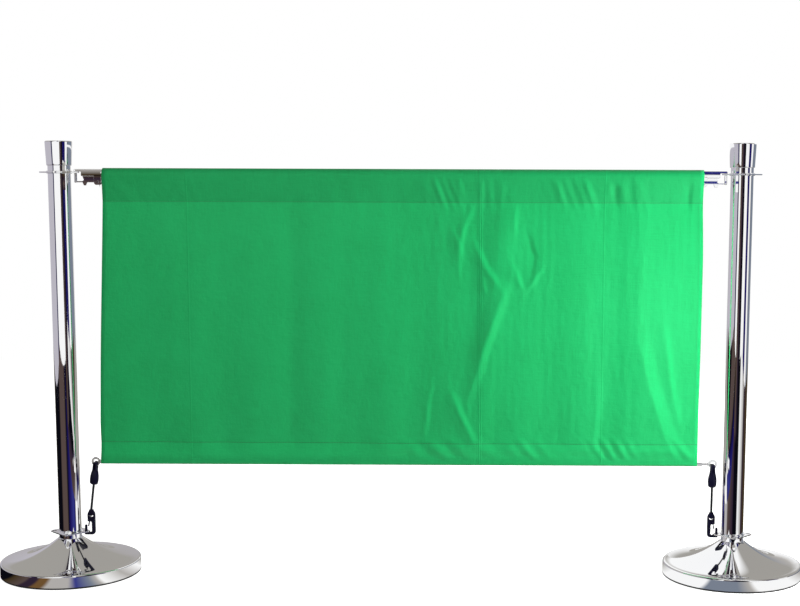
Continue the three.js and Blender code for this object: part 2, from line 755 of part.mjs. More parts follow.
function makeCordEnd() {
  const hole_reach = (eye_hole_radius - fit_gap) ** 2 - (link_width / 2) ** 2;
  const seat = Math.sqrt(hole_reach) * Math.cos(Math.PI / pin_segments);
  const outer_half = link_inner_depth / 2 + link_bar;
  const outer_top = link_bar - seat;
  const opening_bottom = -eye_radius - fit_gap * 4;
  const outline = new THREE.Shape();
  outline.moveTo(-outer_half, -link_outer_drop);
  outline.lineTo(outer_half, -link_outer_drop);
  outline.lineTo(outer_half, outer_top - link_bar);
  outline.quadraticCurveTo(outer_half, outer_top, outer_half - link_bar, outer_top);
  outline.lineTo(link_bar - outer_half, outer_top);
  outline.quadraticCurveTo(-outer_half, outer_top, -outer_half, outer_top - link_bar);
  const opening = new THREE.Path();
  opening.moveTo(-link_inner_depth / 2, opening_bottom);
  opening.lineTo(link_inner_depth / 2, opening_bottom);
  opening.lineTo(link_inner_depth / 2, -seat);
  opening.lineTo(-link_inner_depth / 2, -seat);
  outline.holes.push(opening);
  const link = sidePlate(outline, link_width);
  link.rotateZ(Math.PI / 2);
  const profile = [[0, -end_length]];
  for (const [across_share, down_share] of end_body_shares) {
    profile.push([end_half_width * across_share, -end_length * down_share]);
  }
  profile.push([end_waist_half_width, link_bar - link_outer_drop]);
  profile.push([0, link_bar - link_outer_drop]);
  const body = turnedSolid(profile, pin_segments);
  body.scale(1, end_half_depth / end_half_width, 1);
  return surface(solid(link).add(solid(body)));
}

// Moulded hook: a tip through the eyelet, a bar under the plate, a spine and a head for the cord
function makeClip() {
  const low = -ring_thickness / 2 - fit_gap - clip_bar_height;
  const bar_top = low + clip_bar_height;
  const right = clip_spine_inner + clip_spine_width;
  const tip = clip_tip_radius;
  const head_left = clip_head_left;
  const shoulder = clip_head_top - clip_neck_height;
  const neck_left = clip_cord_across - clip_neck_half_width;
  const neck_right = clip_cord_across + clip_neck_half_width;
  const head_foot = clip_head_bottom;
  const outline = new THREE.Shape();
  outline.moveTo(-tip, low + clip_corner);
  outline.quadraticCurveTo(-tip, low, clip_corner - tip, low);
  outline.lineTo(right - clip_corner * 2, low);
  outline.quadraticCurveTo(right, low, right, low + clip_corner * 2);
  outline.lineTo(right, shoulder - clip_corner);
  outline.quadraticCurveTo(right, shoulder, neck_right, shoulder + clip_corner);
  outline.lineTo(neck_right, clip_head_top);
  outline.lineTo(neck_left, clip_head_top);
  outline.lineTo(neck_left, shoulder + clip_corner);
  outline.quadraticCurveTo(head_left, shoulder, head_left, shoulder - clip_corner);
  outline.lineTo(head_left, head_foot);
  outline.lineTo(clip_spine_inner - clip_corner, head_foot);
  outline.quadraticCurveTo(clip_spine_inner, head_foot, clip_spine_inner, head_foot - clip_corner);
  outline.lineTo(clip_spine_inner, bar_top + clip_corner);
  outline.quadraticCurveTo(clip_spine_inner, bar_top, clip_spine_inner - clip_corner, bar_top);
  outline.lineTo(tip, bar_top);
  outline.lineTo(tip, clip_tip_rise - tip);
  outline.quadraticCurveTo(tip, clip_tip_rise, 0, clip_tip_rise);
  outline.quadraticCurveTo(-tip, clip_tip_rise, -tip, clip_tip_rise - tip);
  let clip = solid(sidePlate(outline, clip_thickness));
  const trim = (clip_thickness - tip * 2) / 2;
  const waste_top = clip_tip_rise + cut_overrun;
  for (const front of [-1, 1]) {
    const waste = boxBetween(-tip - cut_overrun, clip_spine_inner / 2, bar_top, waste_top, trim);
    waste.translate(0, front * (clip_thickness - trim) / 2, 0);
    clip = clip.subtract(solid(waste));
  }
  const slot_top = gate_pin_rise + gate_boss_radius + fit_gap;
  const slot = boxBetween(head_left - cut_overrun, clip_spine_inner - fit_gap,
    head_foot - cut_overrun, slot_top, gate_slot_width);
  clip = clip.subtract(solid(slot));
  const pin_hole_radius = gate_pin_radius + fit_gap;
  const pin_hole = rodAlongY(pin_hole_radius, clip_thickness * 2, gate_pin_across, gate_pin_rise);
  return surface(clip.subtract(solid(pin_hole)));
}

// Tongue that closes the hook's mouth: it hangs from its pin and rests behind the tip
function makeGate() {
  const foot_across = clip_tip_radius + fit_gap + gate_thickness;
  const lean = Math.asin((gate_pin_across - foot_across) / gate_length);
  const outline = new THREE.Shape();
  outline.absarc(0, 0, gate_boss_radius, 0, Math.PI, false);
  outline.lineTo(-gate_thickness / 2, -gate_length);
  outline.lineTo(gate_thickness / 2, -gate_length);
  const blade = sidePlate(outline, gate_width);
  const hole = rodAlongY(gate_pin_radius + fit_gap, gate_width * 2, 0, 0);
  const gate = surface(solid(blade).subtract(solid(hole)));
  gate.rotateY(lean);
  gate.translate(gate_pin_across, 0, gate_pin_rise);
  return gate;
}

// Elastic assembly from a rod eye down to the lower plate, the cord along one straight line
function addElastic(parent, side, eye_distance) {
  const run_across = eye_distance - clip_cord_distance;
  const run_down = rod_height - clip_top;
  const lean = Math.atan2(run_across, run_down);
  const run = Math.hypot(run_across, run_down);
  const hanging = new THREE.Group();
  hanging.position.set(eye_distance, 0, rod_height);
  hanging.rotation.y = lean;
  parent.add(hanging);
  addPiece(hanging, `cord_end_${side}`, makeCordEnd(), "plastic");
  const end_gap = fit_gap + cord_radius * Math.abs(Math.tan(lean));
  addPiece(hanging, `elastic_cord_${side}`, turnedSolid(
    rodProfile(cord_radius, end_gap - run, -end_length - fit_gap), cord_sides), "elastic");
  const clip = new THREE.Group();
  clip.position.set(eyelet_distance, 0, lower_ring_height);
  parent.add(clip);
  addPiece(clip, `cord_hook_${side}`, makeClip(), "plastic");
  addPiece(clip, `hook_gate_${side}`, makeGate(), "plastic");
  addPiece(clip, `gate_pin_${side}`, rodAlongY(
    gate_pin_radius, clip_thickness, gate_pin_across, gate_pin_rise), "zinc");
}

for (const [side, turn] of [["left", -1], ["right", 1]]) {
  const place = new THREE.Group();
  place.position.x = turn * post_spacing / 2;
  place.rotation.z = turn > 0 ? Math.PI : 0;
  barrier.add(place);
  addPost(place, side);
  addHook(place, side);
  const eye_distance = turn < 0 ? eye_left_distance : eye_right_distance;
  const rod_end = turn < 0 ? eye_left_distance + eye_neck_length + fit_gap : rod_right_end;
  addPiece(place, `rod_eye_${side}`, makeEye(eye_distance, rod_end), "zinc");
  addElastic(place, side, eye_distance);
}
addPiece(barrier, "crossbar_tube", makeCrossbar(), "chrome");
addPiece(barrier, "banner", makeBanner(), "fabric");
addPiece(barrier, "bottom_rod", makeRod(), "chrome");

export default barrier;
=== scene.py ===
import math

import bmesh
import bpy
import numpy as np
from mathutils import Matrix, Vector


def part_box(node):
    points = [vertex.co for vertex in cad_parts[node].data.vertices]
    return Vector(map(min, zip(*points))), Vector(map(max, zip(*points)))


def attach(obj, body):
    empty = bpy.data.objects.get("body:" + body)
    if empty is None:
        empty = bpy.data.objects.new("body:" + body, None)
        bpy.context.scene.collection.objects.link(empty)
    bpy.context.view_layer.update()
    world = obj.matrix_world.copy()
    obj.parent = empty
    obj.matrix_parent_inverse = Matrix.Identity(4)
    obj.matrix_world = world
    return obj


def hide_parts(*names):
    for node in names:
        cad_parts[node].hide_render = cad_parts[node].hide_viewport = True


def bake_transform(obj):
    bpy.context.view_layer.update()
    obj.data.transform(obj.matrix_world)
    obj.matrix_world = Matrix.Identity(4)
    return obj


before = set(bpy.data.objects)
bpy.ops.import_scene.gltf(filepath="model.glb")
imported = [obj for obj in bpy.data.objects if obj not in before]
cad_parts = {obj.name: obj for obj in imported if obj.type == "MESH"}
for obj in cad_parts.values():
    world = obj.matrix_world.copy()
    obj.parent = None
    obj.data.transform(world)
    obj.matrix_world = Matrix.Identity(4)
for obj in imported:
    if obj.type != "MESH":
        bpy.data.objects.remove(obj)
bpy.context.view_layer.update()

# Foot covers. Each is a round of sheet steel spun over a form to a trumpet shape, with a
# rounded shoulder and a short skirt, and then chrome plated. It slides down the tube and
# hides the cast weight.
post_distance = 0.775
side_signs = {"left": -1, "right": 1}
side_turns = {"left": 0, "right": math.pi}
cover_radius = 0.160
cover_wall = 0.0015
cover_bore = 0.0257
cover_curve = 2.05
lip_radius = 0.0277
lip_height = 0.082
lip_roll = 0.0009
skirt_top = 0.031
skirt_foot = 0.0038
shoulder_radius = 0.004
slope_end = cover_radius - shoulder_radius
slope_steps = 44
cover_steps = 128
weld_gap = 1e-6
stands = {side: Matrix.Translation((sign * post_distance, 0, 0)) @ Matrix.Rotation(side_turns[side], 4, "Z")
          for side, sign in side_signs.items()}


def spun(profile, steps):
    """Spin an outline of radius and height once round the upright axis into a closed body."""
    work = bmesh.new()
    points = [work.verts.new((radius, 0, height)) for radius, height in profile]
    ends = [] if profile[0][0] == 0 else [(points[-1], points[0])]
    edges = [work.edges.new(pair) for pair in list(zip(points, points[1:])) + ends]
    bmesh.ops.spin(work, geom=points + edges, axis=(0, 0, 1), cent=(0, 0, 0),
                   steps=steps, angle=math.tau, use_merge=True)
    bmesh.ops.remove_doubles(work, verts=work.verts, dist=weld_gap)
    bmesh.ops.recalc_face_normals(work, faces=work.faces)
    return work


def rounding(radius, height, reach, steps):
    """A quarter round from a level face out to the wall that stands at a radius."""
    turns = [math.pi / 2 * step / steps for step in range(steps + 1)]
    return [(radius - abs(reach) * (1 - math.sin(turn)), height + reach * (1 - math.cos(turn)))
            for turn in turns]


def moved(work, matrix):
    """Move or turn a whole worked shape."""
    bmesh.ops.transform(work, matrix=matrix, verts=work.verts)
    return work


def in_scene(work, name):
    """Make a mesh object of a worked shape and put it in the scene."""
    mesh = bpy.data.meshes.new(name)
    work.to_mesh(mesh)
    work.free()
    made = bpy.data.objects.new(name, mesh)
    bpy.context.scene.collection.objects.link(made)
    return made


def finished(work, name, body, nodes, finish, crease=35):
    """Finish a shape as a piece on its body, in place of its CAD nodes."""
    piece = in_scene(work, name)
    piece.data.shade_smooth()
    piece.data.set_sharp_from_angle(angle=math.radians(crease))
    piece.data.materials.append(finish)
    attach(piece, body)
    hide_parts(*nodes)
    return piece


def on_side(work, side, name, body, node, finish, crease=35):
    """Finish a shape that was made about a post's own axis, and stand it on its side."""
    if body != "banner_frame":
        body = f"{body}_{side}"
    moved(work, stands[side])
    return finished(work, f"{name}_{side}", body, [f"{node}_{side}"], finish, crease)


def fill(tree, node, values):
    """Put values or other nodes' outputs into a node's sockets."""
    for socket, value in values.items():
        if isinstance(value, bpy.types.NodeSocket):
            tree.links.new(value, node.inputs[socket])
        else:
            node.inputs[socket].default_value = value
    return node


def shade(tree, kind, values=None, **settings):
    """Add a shader node with its settings and inputs."""
    made = tree.nodes.new("ShaderNode" + kind)
    for setting, value in settings.items():
        setattr(made, setting, value)
    return fill(tree, made, values or {})


def noise(tree, place, scale, detail, roughness=0.5):
    """A noise pattern's height."""
    return shade(tree, "TexNoise", {"Vector": place, "Scale": scale, "Detail": detail,
                                    "Roughness": roughness}).outputs["Fac"]


def spread(tree, value, low, high, start=0.0, end=1.0):
    """A value's way through one range, spread over another."""
    return shade(tree, "MapRange", {"Value": value, "From Min": low, "From Max": high,
                                    "To Min": start, "To Max": end}).outputs["Result"]


def blended(tree, share, first, second, kind="MIX"):
    """Mix two colours by a share, each a colour or another node's output."""
    ends = [end if isinstance(end, bpy.types.NodeSocket) else (*end, 1) for end in (first, second)]
    return shade(tree, "Mix", {0: share, 6: ends[0], 7: ends[1]}, data_type="RGBA",
                 blend_type=kind).outputs[2]


def bumped(tree, height, strength, distance, over=None):
    """Relief from a pattern's height, laid over another relief."""
    values = {"Height": height, "Strength": strength, "Distance": distance}
    if over is not None:
        values["Normal"] = over
    return shade(tree, "Bump", values).outputs["Normal"]


def new_finish(name):
    """A material, its node tree and the coordinates of the object that it is on."""
    finish = bpy.data.materials.new(name)
    finish.use_nodes = True
    return finish, finish.node_tree, shade(finish.node_tree, "TexCoord").outputs["Object"]


def coated(finish, colour, roughness, relief, metallic, **more):
    """Put a finish's colour, roughness, relief and share of metal into its shader."""
    values = {"Base Color": colour, "Roughness": roughness, "Metallic": metallic}
    if relief is not None:
        values["Normal"] = relief
    values.update({name.replace("_", " "): value for name, value in more.items()})
    fill(finish.node_tree, finish.node_tree.nodes["Principled BSDF"], values)
    return finish


def plated(name, soft, dull, ripple):
    """Bright chrome plate, with faint smudges and the slight waviness of polished metal."""
    finish, tree, place = new_finish(name)
    colour = blended(tree, noise(tree, place, 7, 2), (0.90, 0.91, 0.935), (0.95, 0.945, 0.93))
    smudges = spread(tree, noise(tree, place, 26, 6, 0.6), 0.4, 0.75, soft, dull)
    return coated(finish, colour, smudges, bumped(tree, noise(tree, place, 16, 1), ripple, 0.004), 1)


def cover_height(radius):
    """The cover's height on its trumpet slope."""
    share = (slope_end - radius) / (slope_end - lip_radius)
    return skirt_top + (lip_height - skirt_top) * share ** cover_curve


slope = [lip_radius + (slope_end - lip_radius) * (step / slope_steps) ** 1.5
         for step in range(slope_steps + 1)]
cover_profile = [(cover_bore, lip_height - lip_roll), (cover_bore + lip_roll / 2, lip_height),
                 (lip_radius - lip_roll / 2, lip_height), (lip_radius, lip_height - lip_roll)]
cover_profile += [(radius, cover_height(radius)) for radius in slope[1:]]
cover_profile += rounding(cover_radius, skirt_top, -shoulder_radius, 8)[1:]
cover_profile += [(cover_radius, skirt_foot), (cover_radius - cover_wall, skirt_foot),
                  (cover_radius - cover_wall, skirt_top - shoulder_radius)]
for radius in slope[:0:-4]:
    lean = math.atan((cover_height(radius - cover_wall) - cover_height(radius)) / cover_wall)
    cover_profile.append((max(radius - cover_wall * math.sin(lean), cover_bore),
                          cover_height(radius) - cover_wall * math.cos(lean)))

sheet_chrome = plated("sheet_chrome", 0.02, 0.07, 0.05)
for side in stands:
    on_side(spun(cover_profile, cover_steps), side, "foot_cover", "post", "base_cover",
            sheet_chrome, 50)

# What the covers hide and stand on. A disc of cast iron gives the post its weight, a bolt
# with a washer holds it to the plug in the tube's foot, and a moulded rubber ring under the
# rim keeps the floor from scratches.
rubber_inner = 0.140
rubber_top = 0.0035
rubber_edge = 0.0008
groove_middles = (0.1475, 0.1525)
groove_half = 0.001
groove_depth = 0.0006


def cast_iron():
    """Rough sand-cast iron, dark, with pits and a trace of rust."""
    finish, tree, place = new_finish("cast_iron")
    rust = spread(tree, noise(tree, place, 18, 4), 0.52, 0.7)
    colour = blended(tree, rust, (0.052, 0.052, 0.055), (0.11, 0.062, 0.038))
    pits = bumped(tree, noise(tree, place, 240, 6, 0.7), 0.6, 0.0012)
    return coated(finish, colour, 0.72, pits, 0.5)


def zinc_plate():
    """Turned steel with bright zinc plate: fine turning marks and slightly milky patches."""
    finish, tree, place = new_finish("zinc_plate")
    milk = noise(tree, place, 60, 4)
    colour = blended(tree, milk, (0.62, 0.64, 0.66), (0.80, 0.81, 0.80))
    marks = bumped(tree, noise(tree, place, 900, 2), 0.3, 0.0002)
    return coated(finish, colour, spread(tree, milk, 0, 1, 0.2, 0.42), marks, 1)


def black_rubber():
    """Moulded rubber, dusty black, with a fine grain."""
    finish, tree, place = new_finish("black_rubber")
    colour = blended(tree, noise(tree, place, 45, 6), (0.009, 0.009, 0.010), (0.035, 0.034, 0.033))
    return coated(finish, colour, 0.68, bumped(tree, noise(tree, place, 1400, 2), 0.4, 0.0002), 0)


def refinish(finish, side, *nodes):
    """Give a side's CAD nodes that keep their shape their real finish."""
    for node in nodes:
        for material_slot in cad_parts[f"{node}_{side}"].material_slots:
            material_slot.material = finish


iron = cast_iron()
zinc = zinc_plate()
rubber = black_rubber()
rubber_profile = [(rubber_inner, rubber_edge), (rubber_inner + rubber_edge, 0)]
for middle in groove_middles:
    rubber_profile += [(middle - groove_half, 0), (middle - groove_half / 2, groove_depth),
                       (middle + groove_half / 2, groove_depth), (middle + groove_half, 0)]
rubber_profile += [(cover_radius - rubber_edge, 0), (cover_radius, rubber_edge),
                   (cover_radius, rubber_top), (rubber_inner, rubber_top)]
for side in stands:
    on_side(spun(rubber_profile, cover_steps), side, "rim_rubber", "post", "base_rubber", rubber)
    refinish(iron, side, "base_weight")
    refinish(zinc, side, "foot_plug", "base_bolt", "base_washer")

# Post tubes. Steel tube two inches across, polished and chrome plated, with a plug in its
# foot for the base bolt and another in its top for the cap's stud.
tube_radius = 0.0254
tube_wall = 0.0015
tube_edge = 0.0003
tube_steps = 96


def tube_profile(radius, wall, start, end, edge=tube_edge):
    """A tube's outline, with its outer edges broken."""
    return [(radius - wall, start), (radius - edge, start), (radius, start + edge),
            (radius, end - edge), (radius - edge, end), (radius - wall, end)]


for side in stands:
    foot, top = (corner.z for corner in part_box(f"post_tube_{side}"))
    on_side(spun(tube_profile(tube_radius, tube_wall, foot, top), tube_steps), side, "tube", "post",
            "post_tube", sheet_chrome)
    refinish(zinc, side, "cap_plug", "cap_stud")

# Caps. Each is turned from aluminium as a plain cone that widens upwards to a rounded edge,
# polished and plated to match the tube, and it screws down over the tube's top.
cap_foot = 0.945
cap_top = 1.0
cap_foot_radius = 0.0278
cap_top_radius = 0.0302
cap_edge = 0.0025
cap_ceiling = 0.9753
cap_bright = plated("cap_chrome", 0.025, 0.08, 0.03)

cap_profile = [(0, cap_ceiling), (cover_bore, cap_ceiling), (cover_bore, cap_foot)]
cap_profile += rounding(cap_foot_radius, cap_foot, cap_edge / 2, 4)
cap_profile += rounding(cap_top_radius, cap_top, -cap_edge, 8)[::-1]
cap_profile.append((0, cap_top))
for side in stands:
    on_side(spun(cap_profile, tube_steps), side, "post_cap", "post", "cap", cap_bright)

# Ring plates. A square steel plate with rounded corners and a short hub is pressed on the
# tube near its top and its foot. The hole in each corner takes a crossbar or a cord hook.
plate_heights = {"upper": 0.930, "lower": 0.096}
plate_thickness = 0.003
plate_corner = 0.0085
plate_rim = 0.0007
hub_radius = 0.0283
hub_half = 0.003
hub_edge = 0.0005
eyelet_distance = 0.037
eyelet_radius = 0.00525
ring_chrome = plated("ring_chrome", 0.03, 0.10, 0.02)


def only(kind, geometry):
    """The vertices or edges among an operator's results."""
    return [element for element in geometry if isinstance(element, kind)]


def thickened(work, faces, step):
    """Draw faces out by a step into a closed body."""
    drawn = bmesh.ops.extrude_face_region(work, geom=faces)["geom"]
    bmesh.ops.translate(work, vec=step, verts=only(bmesh.types.BMVert, drawn))
    bmesh.ops.recalc_face_normals(work, faces=work.faces)


def rounded(work, edges, radius, segments=3, clamp=False):
    """Round the given edges."""
    bmesh.ops.bevel(work, geom=edges, offset=radius, offset_type="OFFSET", segments=segments,
                    profile=0.5, affect="EDGES", clamp_overlap=clamp, material=-1)


def joined(*works):
    """Put several worked shapes into one."""
    whole = works[0]
    for part in works[1:]:
        held = bpy.data.meshes.new("held")
        part.to_mesh(held)
        part.free()
        whole.from_mesh(held)
        bpy.data.meshes.remove(held)
    return whole


def even_shading(piece):
    """Keep flat faces flat in the light beside their rounded edges."""
    weighted = piece.modifiers.new("even_shading", "WEIGHTED_NORMAL")
    weighted.keep_sharp = True


def ring_plate():
    """The plate with its corner holes, and the hub round the tube."""
    plate = bmesh.new()
    ends = []
    for corner in range(4):
        way = Vector((math.cos(corner * math.pi / 2), math.sin(corner * math.pi / 2), 0))
        centre = eyelet_distance * way
        start = centre + Matrix.Rotation(-math.pi / 4, 3, "Z") @ way * plate_corner
        first = plate.verts.new(start)
        arc = bmesh.ops.spin(plate, geom=[first], axis=(0, 0, 1), cent=centre, steps=14,
                             angle=math.pi / 2)
        ends.append((first, arc["geom_last"][0]))
    for (_, last), (first, _) in zip(ends, ends[1:] + ends[:1]):
        plate.edges.new((last, first))
    bmesh.ops.create_circle(plate, segments=72, radius=cover_bore)
    for corner in range(4):
        way = Matrix.Rotation(corner * math.pi / 2, 4, "Z")
        bmesh.ops.create_circle(plate, segments=28, radius=eyelet_radius,
                                matrix=way @ Matrix.Translation((eyelet_distance, 0, 0)))
    bmesh.ops.triangle_fill(plate, use_beauty=True, use_dissolve=False, edges=plate.edges)
    bmesh.ops.dissolve_limit(plate, angle_limit=math.radians(1), verts=plate.verts, edges=plate.edges)
    thickened(plate, plate.faces[:], (0, 0, plate_thickness))
    moved(plate, Matrix.Translation((0, 0, -plate_thickness / 2)))
    sharp = [e for e in plate.edges if len(e.link_faces) == 2 and e.calc_face_angle() > math.radians(40)]
    rounded(plate, sharp, plate_rim, clamp=True)
    hub = tube_profile(hub_radius, hub_radius - cover_bore, -hub_half, hub_half, hub_edge)
    return joined(plate, spun(hub, tube_steps))


for side in stands:
    for level, height in plate_heights.items():
        plate = moved(ring_plate(), Matrix.Translation((0, 0, height)))
        even_shading(on_side(plate, side, f"{level}_plate", "post", f"{level}_ring", ring_chrome))

# Crossbar. A one-inch chromed steel tube carries the banner's top pocket, and the hooks'
# plugs are riveted into its two ends.
crossbar_height = 0.9259
crossbar_radius = 0.0127
crossbar_wall = 0.0015
crossbar_half = 0.675
quarter_x, quarter_y, quarter_z = (Matrix.Rotation(math.pi / 2, 4, axis) for axis in "XYZ")

bar = spun(tube_profile(crossbar_radius, crossbar_wall, -crossbar_half, crossbar_half), 64)
moved(bar, Matrix.Translation((0, 0, crossbar_height)) @ quarter_y)
finished(bar, "banner_bar", "banner_frame", ["crossbar_tube"], sheet_chrome)

# Crossbar hooks. Each is a zinc die casting, plated: a square bar over a round arm that drops
# through a plate's hole, a fork that carries the latch, and a round plug inside the crossbar.
hook_half = 0.006
hook_top = 0.93709
hook_bottom = 0.92159
hook_inner = 0.03375
hook_outer = 0.0997
hook_round = 0.0012
throat_end = 0.05025
throat_ceiling = 0.9318
arm_radius = 0.00325
arm_foot = 0.9065
arm_sunk = 0.002
lug_start = 0.0797
lug_end = 0.0957
lug_foot = 0.90159
lug_sunk = 0.003
lug_round = 0.0055
fork_inner = 0.0043
plug_radius = 0.0109
plug_end = 0.130
cast_chrome = plated("cast_chrome", 0.05, 0.14, 0.12)


def slab(corners, thickness, rim):
    """A plate from side-view corners of distance, height and rounding, with a softened rim."""
    work = bmesh.new()
    face = work.faces.new([work.verts.new((x, -thickness / 2, z)) for x, z, _ in corners])
    thickened(work, [face], (0, thickness, 0))
    for radius in sorted({corner[2] for corner in corners if corner[2] > 0}):
        places = [(x, z) for x, z, bend in corners if bend == radius]
        upright = []
        for edge in work.edges:
            (ax, _, az), (bx, _, bz) = (v.co for v in edge.verts)
            crosses = math.dist((ax, az), (bx, bz)) < weld_gap
            if crosses and any(math.dist((ax, az), place) < weld_gap for place in places):
                upright.append(edge)
        rounded(work, upright, radius, 7)
    rims = [edge for edge in work.edges if sum(abs(f.normal.y) > 0.9 for f in edge.link_faces) == 1]
    rounded(work, rims, rim)
    return work


def dowel(radius, start, end, rim, steps=32):
    """A round rod between two points, with rounded ends."""
    start, end = Vector(start), Vector(end)
    length = (end - start).length
    bevel = rim * 0.29
    work = spun([(0, 0), (radius - rim, 0), (radius - bevel, bevel), (radius, rim), (radius, length - rim),
                 (radius - bevel, length - bevel), (radius - rim, length), (0, length)], steps)
    turn = (end - start).to_track_quat("Z", "Y").to_matrix().to_4x4()
    return moved(work, Matrix.Translation(start) @ turn)


def crossbar_hook():
    """The bar with its throat, the arm, the fork's two cheeks and the plug."""
    square_bar = slab([
        (hook_inner, hook_top, 0.003), (hook_inner, throat_ceiling, hook_round),
        (throat_end, throat_ceiling, 0.0015), (throat_end, hook_bottom, hook_round),
        (hook_outer, hook_bottom, hook_round), (hook_outer, hook_top, hook_round),
    ], hook_half * 2, 0.0009)
    arm = dowel(arm_radius, (eyelet_distance, 0, arm_foot), (eyelet_distance, 0, hook_top - arm_sunk), 0.0018)
    cheeks = []
    for front in (-1, 1):
        cheek = slab([
            (lug_start, hook_bottom + lug_sunk, 0), (lug_start, lug_foot, lug_round),
            (lug_end, lug_foot, lug_round), (lug_end, hook_bottom + lug_sunk, 0),
        ], hook_half - fork_inner, 0.0005)
        cheeks.append(moved(cheek, Matrix.Translation((0, front * (hook_half + fork_inner) / 2, 0))))
    plug = dowel(plug_radius, (lug_end, 0, crossbar_height), (plug_end, 0, crossbar_height), 0.0008, 48)
    return joined(square_bar, arm, *cheeks, plug)


for side in stands:
    even_shading(on_side(crossbar_hook(), side, "bar_hook", "banner_frame", "crossbar_hook",
                         cast_chrome))
    refinish(zinc, side, "crossbar_rivet")

# Latches. A pressed lever swings on a pin in the fork: its thin nose closes the hook under
# the plate, the thumb piece below opens it, and a torsion spring on the pin shuts it again.
latch_thickness = 0.0046
latch_top = hook_bottom - 0.0003
latch_low = latch_top - 0.014
latch_shift = -0.0017
latch_back = 0.0045
nose_reach = 0.0096
nose_height = 0.0026
thumb_slope = 0.003
thumb_width = 0.005
thumb_low = latch_low - 0.007
pin_distance = 0.0877
pin_height = 0.90809
pin_radius = 0.002
pin_half = 0.0066
head_radius = 0.0032
head_inner = 0.0063
head_outer = 0.0073
spring_wire = 0.0006
spring_radius = 0.0034
spring_pitch = 0.0011
spring_turns = 2.25
spring_leg = 0.009
spring_gap = 0.0003
spring_steps = 54


def latch_lever():
    """The lever in side view, with its thin nose in front and the thumb piece below."""
    front = throat_end
    thumb = (front + thumb_slope, front + thumb_slope * 2, front + thumb_slope * 2 + thumb_width,
             front + thumb_slope * 3 + thumb_width)
    back = pin_distance + latch_back
    lever = slab([
        (front - nose_reach, latch_low, 0.0008), (thumb[0], latch_low, 0), (thumb[1], thumb_low, 0.001),
        (thumb[2], thumb_low, 0.001), (thumb[3], latch_low, 0), (back, latch_low, 0.0012),
        (back, pin_height, 0.001), (pin_distance, latch_top, 0.001), (thumb[0], latch_top, 0.0008),
        (thumb[1], latch_low + nose_height * 2, 0), (thumb[0], latch_low + nose_height, 0),
        (front - nose_reach, latch_low + nose_height, 0.0008),
    ], latch_thickness, 0.0004)
    return moved(lever, Matrix.Translation((0, latch_shift, 0)))


def cross_pin(radius, place, start, end, rim, steps=32):
    """A rod that lies across the barrier, from one depth to another, at a side-view place."""
    return dowel(radius, (place[0], start, place[1]), (place[0], end, place[1]), rim, steps)


def drawn_on(work, edges, step):
    """Draw a wire's open end out by a step, and hand on its new end."""
    geometry = bmesh.ops.extrude_edge_only(work, edges=edges)["geom"]
    ends = only(bmesh.types.BMVert, geometry)
    bmesh.ops.translate(work, verts=ends, vec=step)
    return ends + only(bmesh.types.BMEdge, geometry)


def latch_spring():
    """Two turns of wire about the pin, with one leg up to the bar and one along the lever."""
    rise = hook_bottom - spring_gap - pin_height
    start = Matrix.Translation((spring_radius, fork_inner - spring_gap - spring_wire / 2, rise))
    wire = bmesh.new()
    bmesh.ops.create_circle(wire, cap_ends=False, segments=10, radius=spring_wire / 2, matrix=start)
    end = drawn_on(wire, wire.edges[:], (0, 0, -rise))
    end = bmesh.ops.spin(wire, geom=end, axis=(0, 1, 0), cent=(0, 0, 0), steps=spring_steps,
                         angle=spring_turns * math.tau,
                         dvec=(0, -spring_pitch * spring_turns / spring_steps, 0))["geom_last"]
    drawn_on(wire, only(bmesh.types.BMEdge, end), (-spring_leg, 0, 0))
    bmesh.ops.holes_fill(wire, edges=[e for e in wire.edges if e.is_boundary], sides=0)
    bmesh.ops.recalc_face_normals(wire, faces=wire.faces)
    return moved(wire, Matrix.Translation((pin_distance, 0, pin_height)))


for side in stands:
    even_shading(on_side(latch_lever(), side, "latch_lever", "latch", "latch", cast_chrome))
    pin = joined(
        cross_pin(pin_radius, (pin_distance, pin_height), -pin_half, pin_half, 0.0003),
        cross_pin(head_radius, (pin_distance, pin_height), -head_outer, -head_inner, 0.0004),
        cross_pin(head_radius, (pin_distance, pin_height), head_inner, head_outer, 0.0004))
    on_side(pin, side, "latch_pivot", "banner_frame", "latch_pin", zinc)
    on_side(latch_spring(), side, "latch_coil", "banner_frame", "latch_spring", zinc, 60)

# Banner. One strip of green polyester-cotton, hemmed at its sides, is turned back over the
# crossbar and under the bottom rod and sewn across to make the two pockets. It hangs from
# the bar and still shows the creases of its folded storage.
cloth_top = 0.940
cloth_low = 0.257
top_seam = 0.865
bottom_seam = 0.309
turned_in = 0.004
rod_height = 0.2624
top_pocket_radius = 0.0136
bottom_pocket_radius = 0.0049
top_edges = (-0.6755, 0.6875)
bottom_edges = (-0.6980, 0.6850)
left_bow, right_bow, right_return = 0.0030, 0.0046, 0.0012
cut_width = 1.385
cloth_depth = 0.0007
layer_step = 0.0010
row_step = 0.0048
first_column, last_column = -0.690, 0.686
fine_from, fine_to = 0.04, 0.675
fine_step, plain_step = 0.0041, 0.0098
swell_depth, swell_length = 0.0016, 0.150
fold_depth = 0.005
fold_width = 0.034
broad_folds = ((-0.5425, 0.35, 0), (-0.248, -0.3, 0), (0.2093, 1.0, 0.0775), (0.5348, 0.45, 0.031),
               (0.713, -0.4, -0.062))
loose_heights = (rod_height, 0.3144, 0.8276, 0.9146)
crease_heights = (0.266, 0.290, 0.900, 0.925)
pucker_heights = (0.838, 0.868, 0.905, 0.932)
ripple_heights = (0.266, 0.285, 0.300, 0.332)
settled_limit = 0.009
cloth_slack = 1.0008
pull_frames, settle_frames = 14, 60
pressed_folds = ((0.1785, 0.4), (0.1820, 0.9), (0.1862, 0.5), (0.4650, 0.35), (-0.4860, 0.3))
